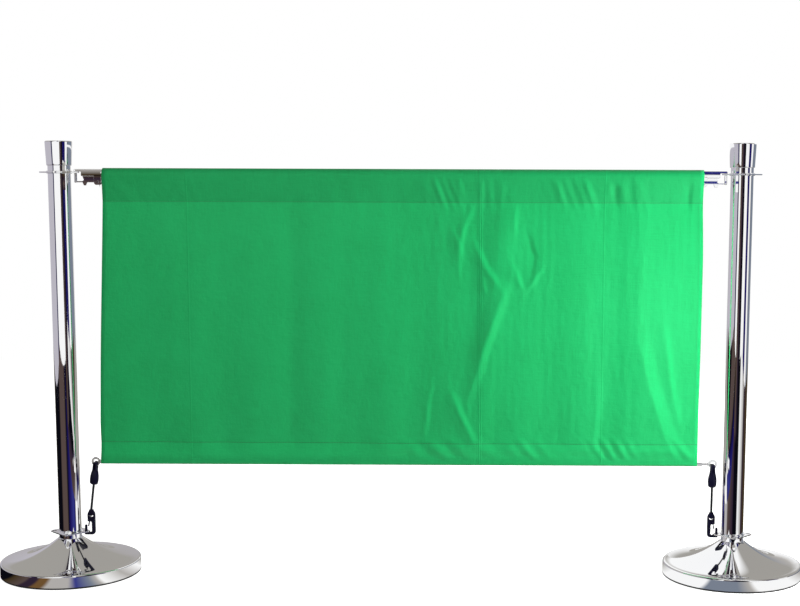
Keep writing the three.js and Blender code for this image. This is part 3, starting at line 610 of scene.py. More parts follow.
creases = (
    (0.0058, 0.0110, ((0.168, 0.785), (0.197, 0.722), (0.240, 0.660))),
    (0.0076, 0.0165, ((0.258, 0.690), (0.222, 0.593), (0.199, 0.530), (0.186, 0.478), (0.160, 0.400))),
    (0.0058, 0.0115, ((0.118, 0.440), (0.142, 0.381), (0.178, 0.305))),
    (0.0040, 0.0085, ((0.258, 0.730), (0.286, 0.660))),
    (0.0036, 0.0085, ((0.334, 0.725), (0.288, 0.655))),
    (-0.0032, 0.0075, ((0.290, 0.800), (0.311, 0.742), (0.303, 0.690))),
    (0.0044, 0.0085, ((0.172, 0.862), (0.148, 0.807), (0.139, 0.760), (0.137, 0.700))),
    (0.0026, 0.0065, ((0.190, 0.700), (0.198, 0.655))),
    (0.0030, 0.0075, ((0.266, 0.860), (0.262, 0.790))),
    (0.0026, 0.0070, ((0.076, 0.458), (0.066, 0.393), (0.058, 0.312))),
    (0.0022, 0.0070, ((0.118, 0.812), (0.146, 0.745))),
    (0.0085, 0.0280, ((0.556, 0.580), (0.585, 0.450), (0.618, 0.350), (0.658, 0.262))),
    (0.0044, 0.0130, ((0.606, 0.620), (0.630, 0.450), (0.652, 0.340))),
    (0.0028, 0.0120, ((0.464, 0.480), (0.459, 0.380), (0.452, 0.275))),
    (0.0022, 0.0120, ((-0.640, 0.915), (-0.590, 0.850))),
    (0.0016, 0.0090, ((0.050, 0.936), (0.072, 0.862))),
    (0.0034, 0.0100, ((0.072, 0.940), (0.106, 0.858))),
    (0.0030, 0.0095, ((0.130, 0.940), (0.149, 0.856))),
    (0.0016, 0.0080, ((0.191, 0.940), (0.187, 0.858))),
    (0.0016, 0.0090, ((0.240, 0.938), (0.234, 0.858))),
    (0.0030, 0.0100, ((0.352, 0.940), (0.380, 0.856))),
    (0.0042, 0.0115, ((0.412, 0.942), (0.449, 0.852))),
    (0.0020, 0.0100, ((0.472, 0.940), (0.486, 0.858))),
    (-0.0034, 0.0070, ((0.493, 0.912), (0.498, 0.850))),
    (0.0030, 0.0095, ((0.503, 0.940), (0.516, 0.856))),
    (0.0030, 0.0095, ((0.541, 0.940), (0.556, 0.858))),
    (-0.0036, 0.0065, ((0.6605, 0.912), (0.6585, 0.848))),
)
pucker_zones = (
    (-0.470, 0.040, 0.0008, 0.028, 0.30), (0.112, 0.042, 0.0007, 0.019, 0.40),
    (0.200, 0.030, 0.0006, 0.024, 0.10), (0.400, 0.050, 0.0007, 0.024, 0.42),
    (0.535, 0.036, 0.0006, 0.021, 0.12), (-0.100, 0.120, 0.0005, 0.060, 0.20),
)
ripple_zones = (
    (0.090, 0.100, 0.0016, 0.058, 0.90), (0.290, 0.040, 0.0014, 0.040, 0.80),
    (0.480, 0.050, 0.0019, 0.028, 0.60), (0.640, 0.024, 0.0016, 0.034, 0.70),
    (-0.350, 0.250, 0.0006, 0.110, 0.50),
)


def ramp(value, start, end):
    """A smooth rise from 0 at one value to 1 at another."""
    share = np.clip((value - start) / (end - start), 0, 1)
    return share * share * (3 - 2 * share)


def window(value, start, full, fading, end):
    """1 inside a stretch, with a smooth rise before it and a smooth fall after it."""
    return ramp(value, start, full) * ramp(-value, -end, -fading)


def rise_at(z):
    """A height as a share of the banner's own height."""
    return (z - cloth_low) / (cloth_top - cloth_low)


def edges_at(z):
    """The banner's left and right edges at a height."""
    rise = rise_at(z)
    left, right = (low + (high - low) * rise for low, high in zip(bottom_edges, top_edges))
    right = right + right_bow * ramp(-rise, -0.96, -0.68) - right_return * ramp(-rise, -0.45, -0.15)
    return left - left_bow * window(rise, 0.03, 0.16, 0.30, 0.95), right


def waves(x, zones, above):
    """Small gathers of the cloth along a hem, each group in its own zone with its own lean."""
    total = np.zeros_like(x)
    for centre, spread_out, depth, length, lean in zones:
        share = np.exp(-((x - centre + lean * above) / spread_out) ** 2)
        total += depth * share * (np.sin(math.tau * (x + lean * above) / length + 37 * centre) - 1)
    return total


def crease_depth(x, z):
    """Creased folds along drawn lines: a gentle rise from the left, a ridge, and a steep face."""
    total = np.zeros_like(x)
    for depth, width, line in creases:
        nearest = np.full_like(x, 1.0)
        beside = np.ones_like(x)
        run = np.zeros_like(x)
        lengths = [math.dist(a, b) for a, b in zip(line, line[1:])]
        passed = 0
        for (ax, az), (bx, bz), length in zip(line, line[1:], lengths):
            share = np.clip(((x - ax) * (bx - ax) + (z - az) * (bz - az)) / length ** 2, 0, 1)
            off = x - ax - share * (bx - ax)
            away = np.hypot(off, z - az - share * (bz - az))
            closer = away < nearest
            nearest = np.where(closer, away, nearest)
            beside = np.where(closer, np.sign(off), beside)
            run = np.where(closer, (passed + share * length) / sum(lengths), run)
            passed += length
        fade = np.sin(np.pi * np.clip(run, 0.03, 0.97)) ** 0.7
        face = nearest * beside / width + 0.5
        total -= depth * fade * np.where(face < 0, np.exp(np.minimum(face, 0) * 0.55),
                                         np.clip(1 - face, 0, 1))
    return total


def panel_depth(x, z, settled):
    """How far the cloth stands behind its flat place: folds, creases and gathers together."""
    rise = rise_at(z)
    broad = swell_depth * np.sin(math.tau * x / swell_length) * (1 - rise)
    for centre, share, slant in broad_folds:
        broad -= fold_depth * share * np.exp(-((x - centre - slant * (rise - 0.5)) / fold_width) ** 2)
    if settled is not None:
        broad = broad + settled(x, z)
    return (broad * window(z, *loose_heights)
            + waves(x, pucker_zones, z - top_seam) * window(z, *pucker_heights)
            + waves(x, ripple_zones, z - bottom_seam) * window(z, *ripple_heights)
            + crease_depth(x, z) * window(z, *crease_heights))


def places_of(mesh):
    """The places of a mesh's points."""
    flat = np.empty(len(mesh.vertices) * 3)
    mesh.vertices.foreach_get("co", flat)
    return flat.reshape(-1, 3)


def flat_cloth(columns, rows, name):
    """A flat grid of cloth, with each point's shares across and up it, its column and its row."""
    work = bmesh.new()
    bmesh.ops.create_grid(work, x_segments=columns, y_segments=rows, size=0.5)
    made = in_scene(work, name)
    across, up = places_of(made.data)[:, :2].T + 0.5
    return made, across, up, np.rint(across * columns).astype(int), np.rint(up * rows).astype(int)


def settle_panel():
    """Hang the cloth between its pockets, gathered along the hems, and let it come to rest."""
    columns, rows = 150, 72
    bottom, top = rod_height, crossbar_height
    reach = 0.05
    panel, across, up, column, row = flat_cloth(columns, rows, "hanging_panel")
    z = bottom + (top - bottom) * up
    left, right = edges_at(z)
    x = left + (right - left) * across
    gathered = 0.9 * (waves(x, pucker_zones, 0) * ramp(z, top - reach, top)
                      + waves(x, ripple_zones, 0) * ramp(-z, -bottom - reach, -bottom))
    gathered += 0.002 * np.sin(x * 11 + z * 7) * np.sin(np.pi * up)
    cut = np.stack([x * cloth_slack, np.zeros(len(z)), z], 1)
    pulled = np.stack([x, gathered, z + 0.0006 * (1 - up)], 1)
    panel.data.vertices.foreach_set("co", cut.ravel())
    panel.shape_key_add(name="cut")
    key = panel.shape_key_add(name="pulled")
    key.data.foreach_set("co", pulled.ravel())
    for frame_number, value in ((1, 0), (pull_frames, 1)):
        key.value = value
        key.keyframe_insert("value", frame=frame_number)
    held = panel.vertex_groups.new(name="held")
    held.add([int(i) for i in np.flatnonzero((row == 0) | (row == rows))], 1, "REPLACE")
    cloth = panel.modifiers.new("cloth", "CLOTH").settings
    cloth.vertex_group_mass = "held"
    cloth.quality = 6
    cloth.mass = 0.05
    cloth.air_damping = 2
    cloth.tension_stiffness = cloth.compression_stiffness = 30
    cloth.shear_stiffness = 8
    cloth.bending_stiffness = 0.25
    cloth.tension_damping = cloth.compression_damping = cloth.shear_damping = 10
    for frame_number in range(1, settle_frames + 1):
        bpy.context.scene.frame_set(frame_number)
    shown = panel.evaluated_get(bpy.context.evaluated_depsgraph_get())
    depths = np.zeros((rows + 1, columns + 1))
    depths[row, column] = np.clip(places_of(shown.data)[:, 1], -settled_limit, settled_limit)
    bpy.context.scene.frame_set(1)
    bpy.data.objects.remove(panel)

    def settled(x, z):
        """The settled cloth's depth between the points of the panel."""
        left, right = edges_at(z)
        i = np.clip((x - left) / (right - left), 0, 1) * columns
        j = np.clip((z - bottom) / (top - bottom), 0, 1) * rows
        i0, j0 = np.minimum(i.astype(int), columns - 1), np.minimum(j.astype(int), rows - 1)
        fi, fj = i - i0, j - j0
        low = depths[j0, i0] * (1 - fi) + depths[j0, i0 + 1] * fi
        high = depths[j0 + 1, i0] * (1 - fi) + depths[j0 + 1, i0 + 1] * fi
        return low * (1 - fj) + high * fj

    return settled


def strip_path():
    """The cloth's run seen from its side: hem, over the bar, down the front, round the rod, hem."""
    front, behind = -cloth_depth / 2, layer_step - cloth_depth / 2
    path = []

    def run(start, end):
        """Straight cloth in even steps."""
        steps = max(1, round(math.dist(start, end) / row_step))
        path.extend(tuple(a + (b - a) * k / steps for a, b in zip(start, end)) for k in range(steps))

    def wrapped(sign, radius, height, seam, steps):
        """Cloth round a bar, from where it touches to where it leaves for the seam."""
        lean = math.asin(radius / abs(height - seam))
        turns = [-lean + (math.pi + 2 * lean) * k / steps for k in range(steps + 1)]
        return [(sign * radius * math.cos(turn), height + sign * radius * math.sin(turn)) for turn in turns]

    over_bar = wrapped(1, top_pocket_radius, crossbar_height, top_seam, 16)
    round_rod = wrapped(-1, bottom_pocket_radius, rod_height, bottom_seam, 10)
    run((behind, top_seam - turned_in), (behind, top_seam))
    run((behind, top_seam), over_bar[0])
    path.extend(over_bar[:-1])
    run(over_bar[-1], (front, top_seam))
    run((front, top_seam), (front, bottom_seam))
    run((front, bottom_seam), round_rod[0])
    path.extend(round_rod[:-1])
    run(round_rod[-1], (behind, bottom_seam))
    return np.array(path + [(behind, bottom_seam), (behind, bottom_seam + turned_in)])


def column_shares():
    """Where the cloth's columns stand across it, closer together where it is most creased."""
    places = [first_column]
    while places[-1] < last_column:
        places.append(places[-1] + (fine_step if fine_from < places[-1] < fine_to else plain_step))
    return (np.array(places) - places[0]) / (places[-1] - places[0])


def maths(tree, kind, *values):
    """A sum done on values or other nodes' outputs."""
    return shade(tree, "Math", dict(enumerate(values)), operation=kind).outputs["Value"]


def green_cloth(upper, lower):
    """Plain-woven polyester-cotton: crossed threads, slubs, pressed folds, painted shade on the top pocket
    and under the bottom rod, and painted light on the bottom pocket.
    """
    finish, tree, place = new_finish("green_cloth")
    flat = shade(tree, "UVMap", uv_map="cloth").outputs["UV"]
    across = shade(tree, "SeparateXYZ", {0: place}).outputs["X"]
    along = shade(tree, "SeparateXYZ", {0: flat}).outputs["Y"]
    warp, weft = (shade(tree, "TexWave", {"Vector": flat, "Scale": 330, "Distortion": 0.6, "Detail": 1},
                        bands_direction=way).outputs["Fac"] for way in "XY")
    slubs = [noise(tree, shade(tree, "Mapping", {"Vector": flat, "Scale": scale}).outputs["Vector"], 1, 3)
             for scale in ((900, 24, 1), (24, 900, 1))]
    thread = shade(tree, "Mix", {0: 0.25, 2: maths(tree, "ADD", *slubs),
                                 3: maths(tree, "MULTIPLY", warp, weft)}, data_type="FLOAT").outputs[0]
    colour = blended(tree, spread(tree, thread, 0.55, 1.15), (0.0040, 0.330, 0.088), (0.0060, 0.434, 0.119))
    worn = spread(tree, noise(tree, place, 9, 5, 0.55), 0.35, 0.7, 0, 0.35)
    colour = blended(tree, worn, colour, (0.008, 0.444, 0.130))
    # Painted shade over the top pocket, painted light on the bottom pocket's front, and painted shade from
    # where the cloth turns under the bottom rod onwards, each a step in the colour along the strip.
    for begins, ends, tint in ((upper + 0.0005, upper - 0.0005, 0.84), (lower - 0.0005, lower + 0.0005, 1.07),
                               (lower + 0.026, lower + 0.040, 0.86)):
        painted_pocket_shading = blended(tree, spread(tree, along, begins, ends), (1, 1, 1), (tint, tint, tint))
        colour = blended(tree, 1.0, colour, painted_pocket_shading, "MULTIPLY")
    for edge in (upper, lower):
        colour = blended(tree, maths(tree, "COMPARE", along, edge, 0.0009), colour, (0.012, 0.250, 0.072))
    pressed = 0.0
    for fold, press in pressed_folds:
        away = maths(tree, "ABSOLUTE", maths(tree, "SUBTRACT", across, fold))
        pressed = maths(tree, "MAXIMUM", pressed, spread(tree, away, 0, 0.0022, press, 0))
    relief = bumped(tree, pressed, 1.0, 0.0010)
    relief = bumped(tree, noise(tree, place, 42, 5, 0.6), 0.45, 0.0035, relief)
    relief = bumped(tree, thread, 0.35, 0.0003, relief)
    return coated(finish, colour, 0.62, relief, 0, Specular_IOR_Level=0.36, Sheen_Weight=0.12,
                  Sheen_Roughness=0.45, Sheen_Tint=(0.45, 1.0, 0.60, 1))


settled = settle_panel()
path = strip_path()
shares = column_shares()
banner, _, _, column, row = flat_cloth(len(shares) - 1, len(path) - 1, "banner_cloth")
strip_y, strip_z = path[row].T
left, right = edges_at(strip_z)
strip_x = left + (right - left) * shares[column]
strip_y = strip_y + panel_depth(strip_x, strip_z, settled)
mesh = banner.data
mesh.vertices.foreach_set("co", np.stack([strip_x, strip_y, strip_z], 1).ravel())
run = np.concatenate([[0], np.cumsum(np.hypot(*np.diff(path, axis=0).T))])
flat_map = mesh.uv_layers.new(name="cloth")
corners = np.empty(len(mesh.loops), int)
mesh.loops.foreach_get("vertex_index", corners)
flat_map.data.foreach_set("uv", np.stack([shares[column[corners]] * cut_width, run[row[corners]]], 1).ravel())
front = np.flatnonzero(path[:, 0] < 0)
seam_runs = [float(run[front[np.argmin(abs(path[front, 1] - seam))]]) for seam in (top_seam, bottom_seam)]
mesh.shade_smooth()
mesh.materials.append(green_cloth(*seam_runs))
body = banner.modifiers.new("body", "SOLIDIFY")
body.thickness = cloth_depth
body.offset = 0
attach(banner, "banner_frame")
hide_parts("banner")

# Stitching. Lockstitch in matching thread runs along both pocket seams and down both side
# hems, each stitch a short bead that lies on the cloth.
stitch_length = 0.0030
stitch_pitch = 0.0037
stitch_radius = 0.00038
seam_start, seam_spare = 0.004, 0.006
hem_inset = 0.0095
hem_start, hem_spare = 0.006, 0.010


def sewn(thread, x, z, turns):
    """A row of stitches, each half sunk in the cloth's face."""
    y = panel_depth(x, z, settled) - cloth_depth - stitch_radius * 0.35
    bead = Matrix.Diagonal((stitch_length / 2, stitch_radius, stitch_radius, 1))
    for *place, turn in zip(x, y, z, turns):
        lay = Matrix.Translation(place) @ Matrix.Rotation(turn, 4, "Y") @ bead
        bmesh.ops.create_icosphere(thread, subdivisions=1, radius=1, matrix=lay)


def sewing_thread():
    """Twisted green sewing thread, a shade darker than the cloth."""
    finish, tree, place = new_finish("sewing_thread")
    twist = noise(tree, place, 2600, 2)
    colour = blended(tree, twist, (0.010, 0.235, 0.070), (0.022, 0.400, 0.120))
    return coated(finish, colour, 0.6, bumped(tree, twist, 0.4, 0.0002), 0)


thread = bmesh.new()
for seam in (top_seam, bottom_seam):
    left, right = edges_at(seam)
    count = np.arange(int((right - left - seam_spare) / stitch_pitch))
    sewn(thread, left + seam_start + stitch_pitch * count, np.full(len(count), seam),
         0.05 * np.sin(count * 2.7))
for edge, inset in enumerate((hem_inset, -hem_inset)):
    count = np.arange(int((top_seam - bottom_seam - hem_spare) / stitch_pitch))
    heights = bottom_seam + hem_start + stitch_pitch * count
    sewn(thread, edges_at(heights)[edge] + inset, heights, np.full(len(count), math.pi / 2))
stitches = finished(thread, "banner_stitching", "banner_frame", [], sewing_thread(), 180)

# Bottom rod. A slim bright tube lies in the lower pocket and holds the cloth straight, with a
# flat steel eye pressed into each end.
rod_radius = 0.004
rod_wall = 0.001
eye_distances = {"left": 0.0645, "right": 0.0495}
eye_radius = 0.0105
eye_hole = 0.0055
eye_half = 0.00125
eye_edge = 0.0006
eye_neck = 0.0135
eye_neck_half = 0.0031
eye_shank = 0.0026
eye_grip = 0.025


def bright_steel():
    """Drawn and polished steel with faint marks along its length."""
    finish, tree, place = new_finish("bright_steel")
    stretch = shade(tree, "Mapping", {"Vector": place, "Scale": (8, 900, 900)}).outputs["Vector"]
    drawn = noise(tree, stretch, 1, 3)
    colour = blended(tree, drawn, (0.80, 0.81, 0.83), (0.90, 0.90, 0.89))
    return coated(finish, colour, spread(tree, drawn, 0, 1, 0.08, 0.24), bumped(tree, drawn, 0.15, 0.0002), 1)


def rod_eye(distance, shank_end):
    """A flat ring with a tapered neck, and a shank that is pressed into the rod."""
    quarter = [(eye_hole, -eye_half + eye_edge), (eye_hole + eye_edge, -eye_half),
               (eye_radius - eye_edge, -eye_half), (eye_radius, -eye_half + eye_edge)]
    ring = spun(quarter + [(radius, -height) for radius, height in quarter[::-1]], 56)
    moved(ring, Matrix.Translation((distance, 0, rod_height)) @ quarter_x)
    side_line = [(eye_hole + 0.0008, 0.0045, 0), (eye_radius * 0.86, 0.0052, 0),
                 (eye_neck, eye_neck_half, 0.0008)]
    neck = slab([(distance + x, rod_height + z, bend) for x, z, bend in side_line]
                + [(distance + x, rod_height - z, bend) for x, z, bend in side_line[::-1]],
                eye_half * 2, 0.0005)
    shank = dowel(eye_shank, (distance + eye_radius, 0, rod_height), (shank_end, 0, rod_height), 0.0005, 24)
    return joined(ring, neck, shank)


steel = bright_steel()
rod_start, rod_end = (corner.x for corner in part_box("bottom_rod"))
rod = spun(tube_profile(rod_radius, rod_wall, rod_start, rod_end), 32)
moved(rod, Matrix.Translation((0, 0, rod_height)) @ quarter_y)
finished(rod, "pocket_rod", "banner_frame", ["bottom_rod"], steel)
for side, near_end in (("left", rod_start), ("right", -rod_end)):
    eye = rod_eye(eye_distances[side], near_end + post_distance + eye_grip)
    even_shading(on_side(eye, side, "flat_eye", "banner_frame", "rod_eye", steel))

# Elastic assemblies. A moulded end loops through the rod's eye, a short braided elastic cord
# is crimped into it, and below it a moulded snap hook clips into the lower plate.
cord_top = 0.055
cord_radius = 0.00275
cord_edge = 0.0005
cord_grip = 0.004
link_half = 0.0093
link_low = 0.020
link_high = 0.0004
link_seat = 0.0044
link_width = 0.005
leg_width = 0.0098
leg_inner = 0.0045
grip_profile = ((0.0, -0.055), (0.0057, -0.055), (0.0069, -0.0543), (0.0084, -0.053), (0.0097, -0.0505),
                (0.0102, -0.041), (0.0094, -0.031), (0.0070, -0.021), (0.0064, -0.0165), (0.0, -0.0152))
grip_depth = 0.0065
hook_head_top = 0.052
hook_width = 0.008
spine_back = 0.022
spine_front = 0.014
hook_front = 0.0045
neck_back, neck_front = 0.01825, 0.00825
hook_middle = (neck_back + neck_front) / 2
hook_low, hook_bar_top = -0.0075, -0.0018
tip_radius = 0.003
tip_start, tip_end = -0.0055, 0.016
gate_place = (0.0095, 0.028)
gate_length = 0.0165
gate_half, gate_head_half = 0.0012, 0.0024
gate_tip = 0.0057
gate_pin_radius = 0.0011
gate_pin_half = 0.004


def eased(points, steps):
    """More points along a smooth line through the given ones."""
    line = [Vector(p) for p in (points[0], *points, points[-1])]
    made = []
    for a, b, c, d in zip(line, line[1:], line[2:], line[3:]):
        for t in (k / steps for k in range(steps)):
            made.append(0.5 * (2 * b + (c - a) * t + (2 * a - 5 * b + 4 * c - d) * t * t
                               + (3 * b - a - 3 * c + d) * t ** 3))
    return [tuple(p) for p in made + line[-1:]]


def cut_out(work, cutter):
    """Take one worked shape out of another."""
    kept, taken = in_scene(work, "kept"), in_scene(cutter, "cutter")
    cut = kept.modifiers.new("cut", "BOOLEAN")
    cut.operation = "DIFFERENCE"
    cut.object = taken
    cut.solver = "EXACT"
    result = bmesh.new()
    result.from_object(kept, bpy.context.evaluated_depsgraph_get())
    bpy.data.objects.remove(kept)
    bpy.data.objects.remove(taken)
    return result


def moulded_plastic():
    """Injection-moulded nylon, black with a blue cast and a half gloss."""
    finish, tree, place = new_finish("moulded_plastic")
    flow = noise(tree, place, 120, 4)
    colour = blended(tree, flow, (0.0035, 0.0032, 0.012), (0.008, 0.007, 0.030))
    grain = bumped(tree, noise(tree, place, 1800, 2), 0.25, 0.0001)
    return coated(finish, colour, spread(tree, flow, 0, 1, 0.22, 0.42), grain, 0, Specular_IOR_Level=0.18)


def braided_sheath():
    """Black braid: two sets of threads that cross as they wind round the cord."""
    finish, tree, _ = new_finish("braided_sheath")
    wound = shade(tree, "UVMap", uv_map="wound").outputs["UV"]
    sets = []
    for lean in (35, -35):
        turned = shade(tree, "Mapping", {"Vector": wound, "Rotation": (0, 0, math.radians(lean))})
        sets.append(shade(tree, "TexWave", {"Vector": turned.outputs["Vector"], "Scale": 260,
                                            "Distortion": 0.4}).outputs["Fac"])
    braid = maths(tree, "MULTIPLY", *sets)
    colour = blended(tree, braid, (0.004, 0.004, 0.007), (0.030, 0.030, 0.040))
    return coated(finish, colour, 0.6, bumped(tree, braid, 0.8, 0.0005), 0)


def block(half, low, high, low_round, high_round, thickness, rim):
    """A slab that reaches as far to both sides of its middle."""
    return slab([(-half, low, low_round), (half, low, low_round), (half, high, high_round),
                 (-half, high, high_round)], thickness, rim)


def cord_end():
    """The loop through the eye and the swelling body that grips the cord."""
    loop = block(link_half, -link_low, link_high, 0, 0.0046, link_width, 0.0012)
    opening = block(leg_inner, -0.0117, -link_seat, 0.0022, 0.0022, link_width * 2, 0.0004)
    loop = moved(cut_out(loop, opening), quarter_z)
    legs = []
    for front in (-1, 1):
        leg = block(leg_width / 2, -link_low, link_high - 0.001, 0, 0.0032, link_half - leg_inner, 0.0012)
        legs.append(moved(leg, Matrix.Translation((0, front * (link_half + leg_inner) / 2, 0))))
    widest = max(radius for radius, _ in grip_profile)
    grip = moved(spun(eased(grip_profile, 5), 48), Matrix.Diagonal((1, grip_depth / widest, 1, 1)))
    return joined(loop, *legs, grip)


def snap_hook():
    """The moulded hook: a bar under the plate, its tip through the hole, a spine and a head."""
    shape = slab([
        (-0.003, hook_low, 0.0028), (spine_back, hook_low, 0.0075), (spine_back, 0.0435, 0.0032),
        (neck_back, 0.0490, 0.0016), (neck_back, hook_head_top, 0.0014), (neck_front, hook_head_top, 0.0014),
        (neck_front, 0.0490, 0.0016), (hook_front, 0.0435, 0.0032), (hook_front, 0.024, 0.0016),
        (spine_front, 0.024, 0.0036), (spine_front, hook_bar_top, 0.0036), (-0.003, hook_bar_top, 0.0016),
    ], hook_width, 0.0012)
    gate_slot = slab([(0.0, 0.020, 0), (0.0137, 0.020, 0), (0.0137, 0.0307, 0), (0.0, 0.0307, 0)],
                     0.0038, 0.0001)
    crescent = slab([
        (0.0080, 0.0396, 0), (0.0086, 0.0356, 0.0008), (0.0132, 0.0332, 0.0022), (0.0178, 0.0356, 0.0008),
        (0.0184, 0.0396, 0), (0.0164, 0.0382, 0), (0.0132, 0.0364, 0.0014), (0.0100, 0.0382, 0),
    ], 0.02, 0.0001)
    shape = cut_out(cut_out(shape, gate_slot), crescent)
    return joined(shape, dowel(tip_radius, (0, 0, tip_start), (0, 0, tip_end), 0.0026))


def hook_gate():
    """The springy tongue that hangs from its pin and closes the hook's mouth."""
    half = [(-gate_head_half, 0.0024, 0.0022), (-gate_head_half, -0.0006, 0), (-gate_half, -0.0030, 0),
            (-gate_half, -gate_length, 0.0005)]
    blade = slab(half + [(-x, z, bend) for x, z, bend in half[::-1]], 0.003, 0.0003)
    lean = math.asin((gate_place[0] - gate_tip) / gate_length)
    place = Matrix.Translation((gate_place[0], 0, gate_place[1]))
    return moved(blade, place @ Matrix.Rotation(lean, 4, "Y"))


def wound_cord(low, high):
    """The elastic cord, with coordinates that wind round it for the braid."""
    work = spun([(0, low), (cord_radius - cord_edge, low), (cord_radius, low + cord_edge),
                 (cord_radius, high - cord_edge), (cord_radius - cord_edge, high), (0, high)], 32)
    long_edges = [e for e in work.edges if abs(e.verts[0].co.z - e.verts[1].co.z) > 0.01]
    bmesh.ops.subdivide_edges(work, edges=long_edges, cuts=14, use_grid_fill=True)
    wound = work.loops.layers.uv.new("wound")
    for face in work.faces:
        middle = face.calc_center_median()
        face_turn = math.atan2(middle.y, middle.x)
        for corner in face.loops:
            turn = math.atan2(corner.vert.co.y, corner.vert.co.x)
            turn -= math.tau * round((turn - face_turn) / math.tau)
            corner[wound].uv = (turn * cord_radius, corner.vert.co.z)
    return work


nylon = moulded_plastic()
sheath = braided_sheath()
plate_low = plate_heights["lower"]
for side, eye_place in eye_distances.items():
    across = eye_place - eyelet_distance - hook_middle
    down = rod_height - plate_low - hook_head_top
    length = math.hypot(across, down)
    hang = Matrix.Translation((eye_place, 0, rod_height)) @ Matrix.Rotation(math.atan2(across, down), 4, "Y")
    even_shading(on_side(moved(cord_end(), hang), side, "moulded_end", "banner_frame", "cord_end",
                         nylon))
    hang = stands[side] @ hang
    cord = moved(wound_cord(-length - cord_grip, -cord_top + cord_grip), hang)
    cord = in_scene(cord, f"braided_cord_{side}")
    cord.data.shade_smooth()
    cord.data.materials.append(sheath)
    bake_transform(cord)
    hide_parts(f"elastic_cord_{side}")
    for shape, name, body, node, slot, finish in (
        (snap_hook(), "snap_hook", "cord_hook", "cord_hook", "black_plastic", nylon),
        (hook_gate(), "gate_tongue", "hook_gate", "hook_gate", "black_plastic", nylon),
        (cross_pin(gate_pin_radius, gate_place, -gate_pin_half, gate_pin_half, 0.0002, 16),
         "gate_axle", "cord_hook", "gate_pin", "zinc", zinc),
    ):
        moved(shape, Matrix.Translation((eyelet_distance, 0, plate_low)))
        even_shading(on_side(shape, side, name, body, node, finish))

# Studio. A pale floor runs into a white surround, under four soft lamps. The chrome also
# reflects a darker room: bands of wall all round, and dark and light flags out of view.
scene = bpy.context.scene
scene.view_settings.view_transform = "Standard"
room_light = 0.31
floor_glow = 0.78
navy, black, brown = (0.012, 0.008, 0.11), (0.003, 0.003, 0.006), (0.055, 0.036, 0.016)
plum, bright, pale = (0.030, 0.018, 0.035), (1.0, 1.0, 1.0), (0.46, 0.44, 0.42)
blue_grey, rust, lilac = (0.20, 0.23, 0.29), (0.095, 0.066, 0.060), (0.52, 0.50, 0.56)
blue, ochre, dim = (0.035, 0.04, 0.24), (0.16, 0.085, 0.03), (0.37, 0.355, 0.33)
wall_bands = (
    (-180, dim), (-150, lilac), (-52, lilac), (-50, navy), (-41, black), (-39, bright), (46, bright),
    (49, navy), (70, navy), (73, bright), (92, bright), (95, black), (101, blue_grey), (150, blue_grey),
    (163, pale), (166, bright), (172, bright), (176, dim), (180, dim),
)
ceiling_bands = (
    (-180, dim), (-75, dim), (-60, plum), (-34, black), (-30, bright), (-4, bright), (0, navy), (16, black),
    (20, bright), (42, bright), (46, brown), (62, plum), (75, dim), (180, dim),
)
floor_bands = {
    "left": ((-180, dim), (-150, dim), (-135, brown), (-128, black), (-62, black), (-50, rust), (-8, rust),
             (4, black), (22, navy), (55, blue), (74, navy), (82, bright), (126, bright), (134, black),
             (146, dim), (180, dim)),
    "right": ((-180, dim), (-150, dim), (-135, navy), (-113, blue), (-108, lilac), (-76, pale), (-66, rust),
              (-16, plum), (-8, black), (26, black), (33, bright), (68, pale), (76, plum), (112, brown),
              (134, brown), (146, dim), (180, dim)),
}
foot_bands = {
    "left": ((-180, black), (-60, black), (-54, brown), (-37, rust), (-33, plum), (-24, plum), (-20, ochre),
             (-12, ochre), (-7, pale), (12, pale), (19, blue), (34, blue_grey), (42, pale), (47, bright),
             (75, pale), (105, bright), (125, dim), (150, blue_grey), (180, black)),
    "right": ((-180, black), (-150, blue_grey), (-120, dim), (-90, bright), (-39, bright), (-34, blue_grey),
              (-4, blue_grey), (9, pale), (15, bright), (60, bright), (90, pale), (125, blue_grey),
              (180, black)),
}


def seen_by_eye_or_gloss(tree):
    """1 for rays from the camera or off a shiny or clear surface, 0 for the light itself."""
    rays = shade(tree, "LightPath").outputs
    shiny = maths(tree, "MAXIMUM", rays["Is Glossy Ray"], rays["Is Transmission Ray"])
    return rays["Is Camera Ray"], maths(tree, "MAXIMUM", rays["Is Camera Ray"], shiny)


def banded(tree, place, bands):
    """A colour ramp over bands of a place and a colour each."""
    first, last = bands[0][0], bands[-1][0]
    made = shade(tree, "ValToRGB", {0: spread(tree, place, first, last)})
    points = made.color_ramp.elements
    for at, _ in bands[1:-1]:
        points.new((at - first) / (last - first))
    for point, (_, colour) in zip(points, bands):
        point.color = (*colour, 1)
    return made.outputs["Color"]


def bearing(tree, way):
    """Degrees round the upright axis, 0 to the front and 90 to the right, and the height."""
    parts = shade(tree, "SeparateXYZ", {0: way}).outputs
    turn = maths(tree, "ARCTAN2", parts["X"], maths(tree, "MULTIPLY", parts["Y"], -1.0))
    return maths(tree, "MULTIPLY", turn, 180 / math.pi), parts["Z"]


world = bpy.data.worlds.new("white_surround")
scene.world = world
world.use_nodes = True
tree = world.node_tree
by_eye, seen = seen_by_eye_or_gloss(tree)
around, rise = bearing(tree, shade(tree, "TexCoord").outputs["Generated"])
room = blended(tree, spread(tree, rise, 0.24, 0.30), banded(tree, around, wall_bands),
               banded(tree, around, ceiling_bands))
light = fill(tree, tree.nodes["Background"], {"Color": (1.0, 0.99, 0.98, 1), "Strength": room_light})
white = shade(tree, "Background", {"Color": blended(tree, by_eye, room, (1, 1, 1)), "Strength": 1.0})
mixed = shade(tree, "MixShader", {0: seen, 1: light.outputs[0], 2: white.outputs[0]})
fill(tree, tree.nodes["World Output"], {"Surface": mixed.outputs[0]})


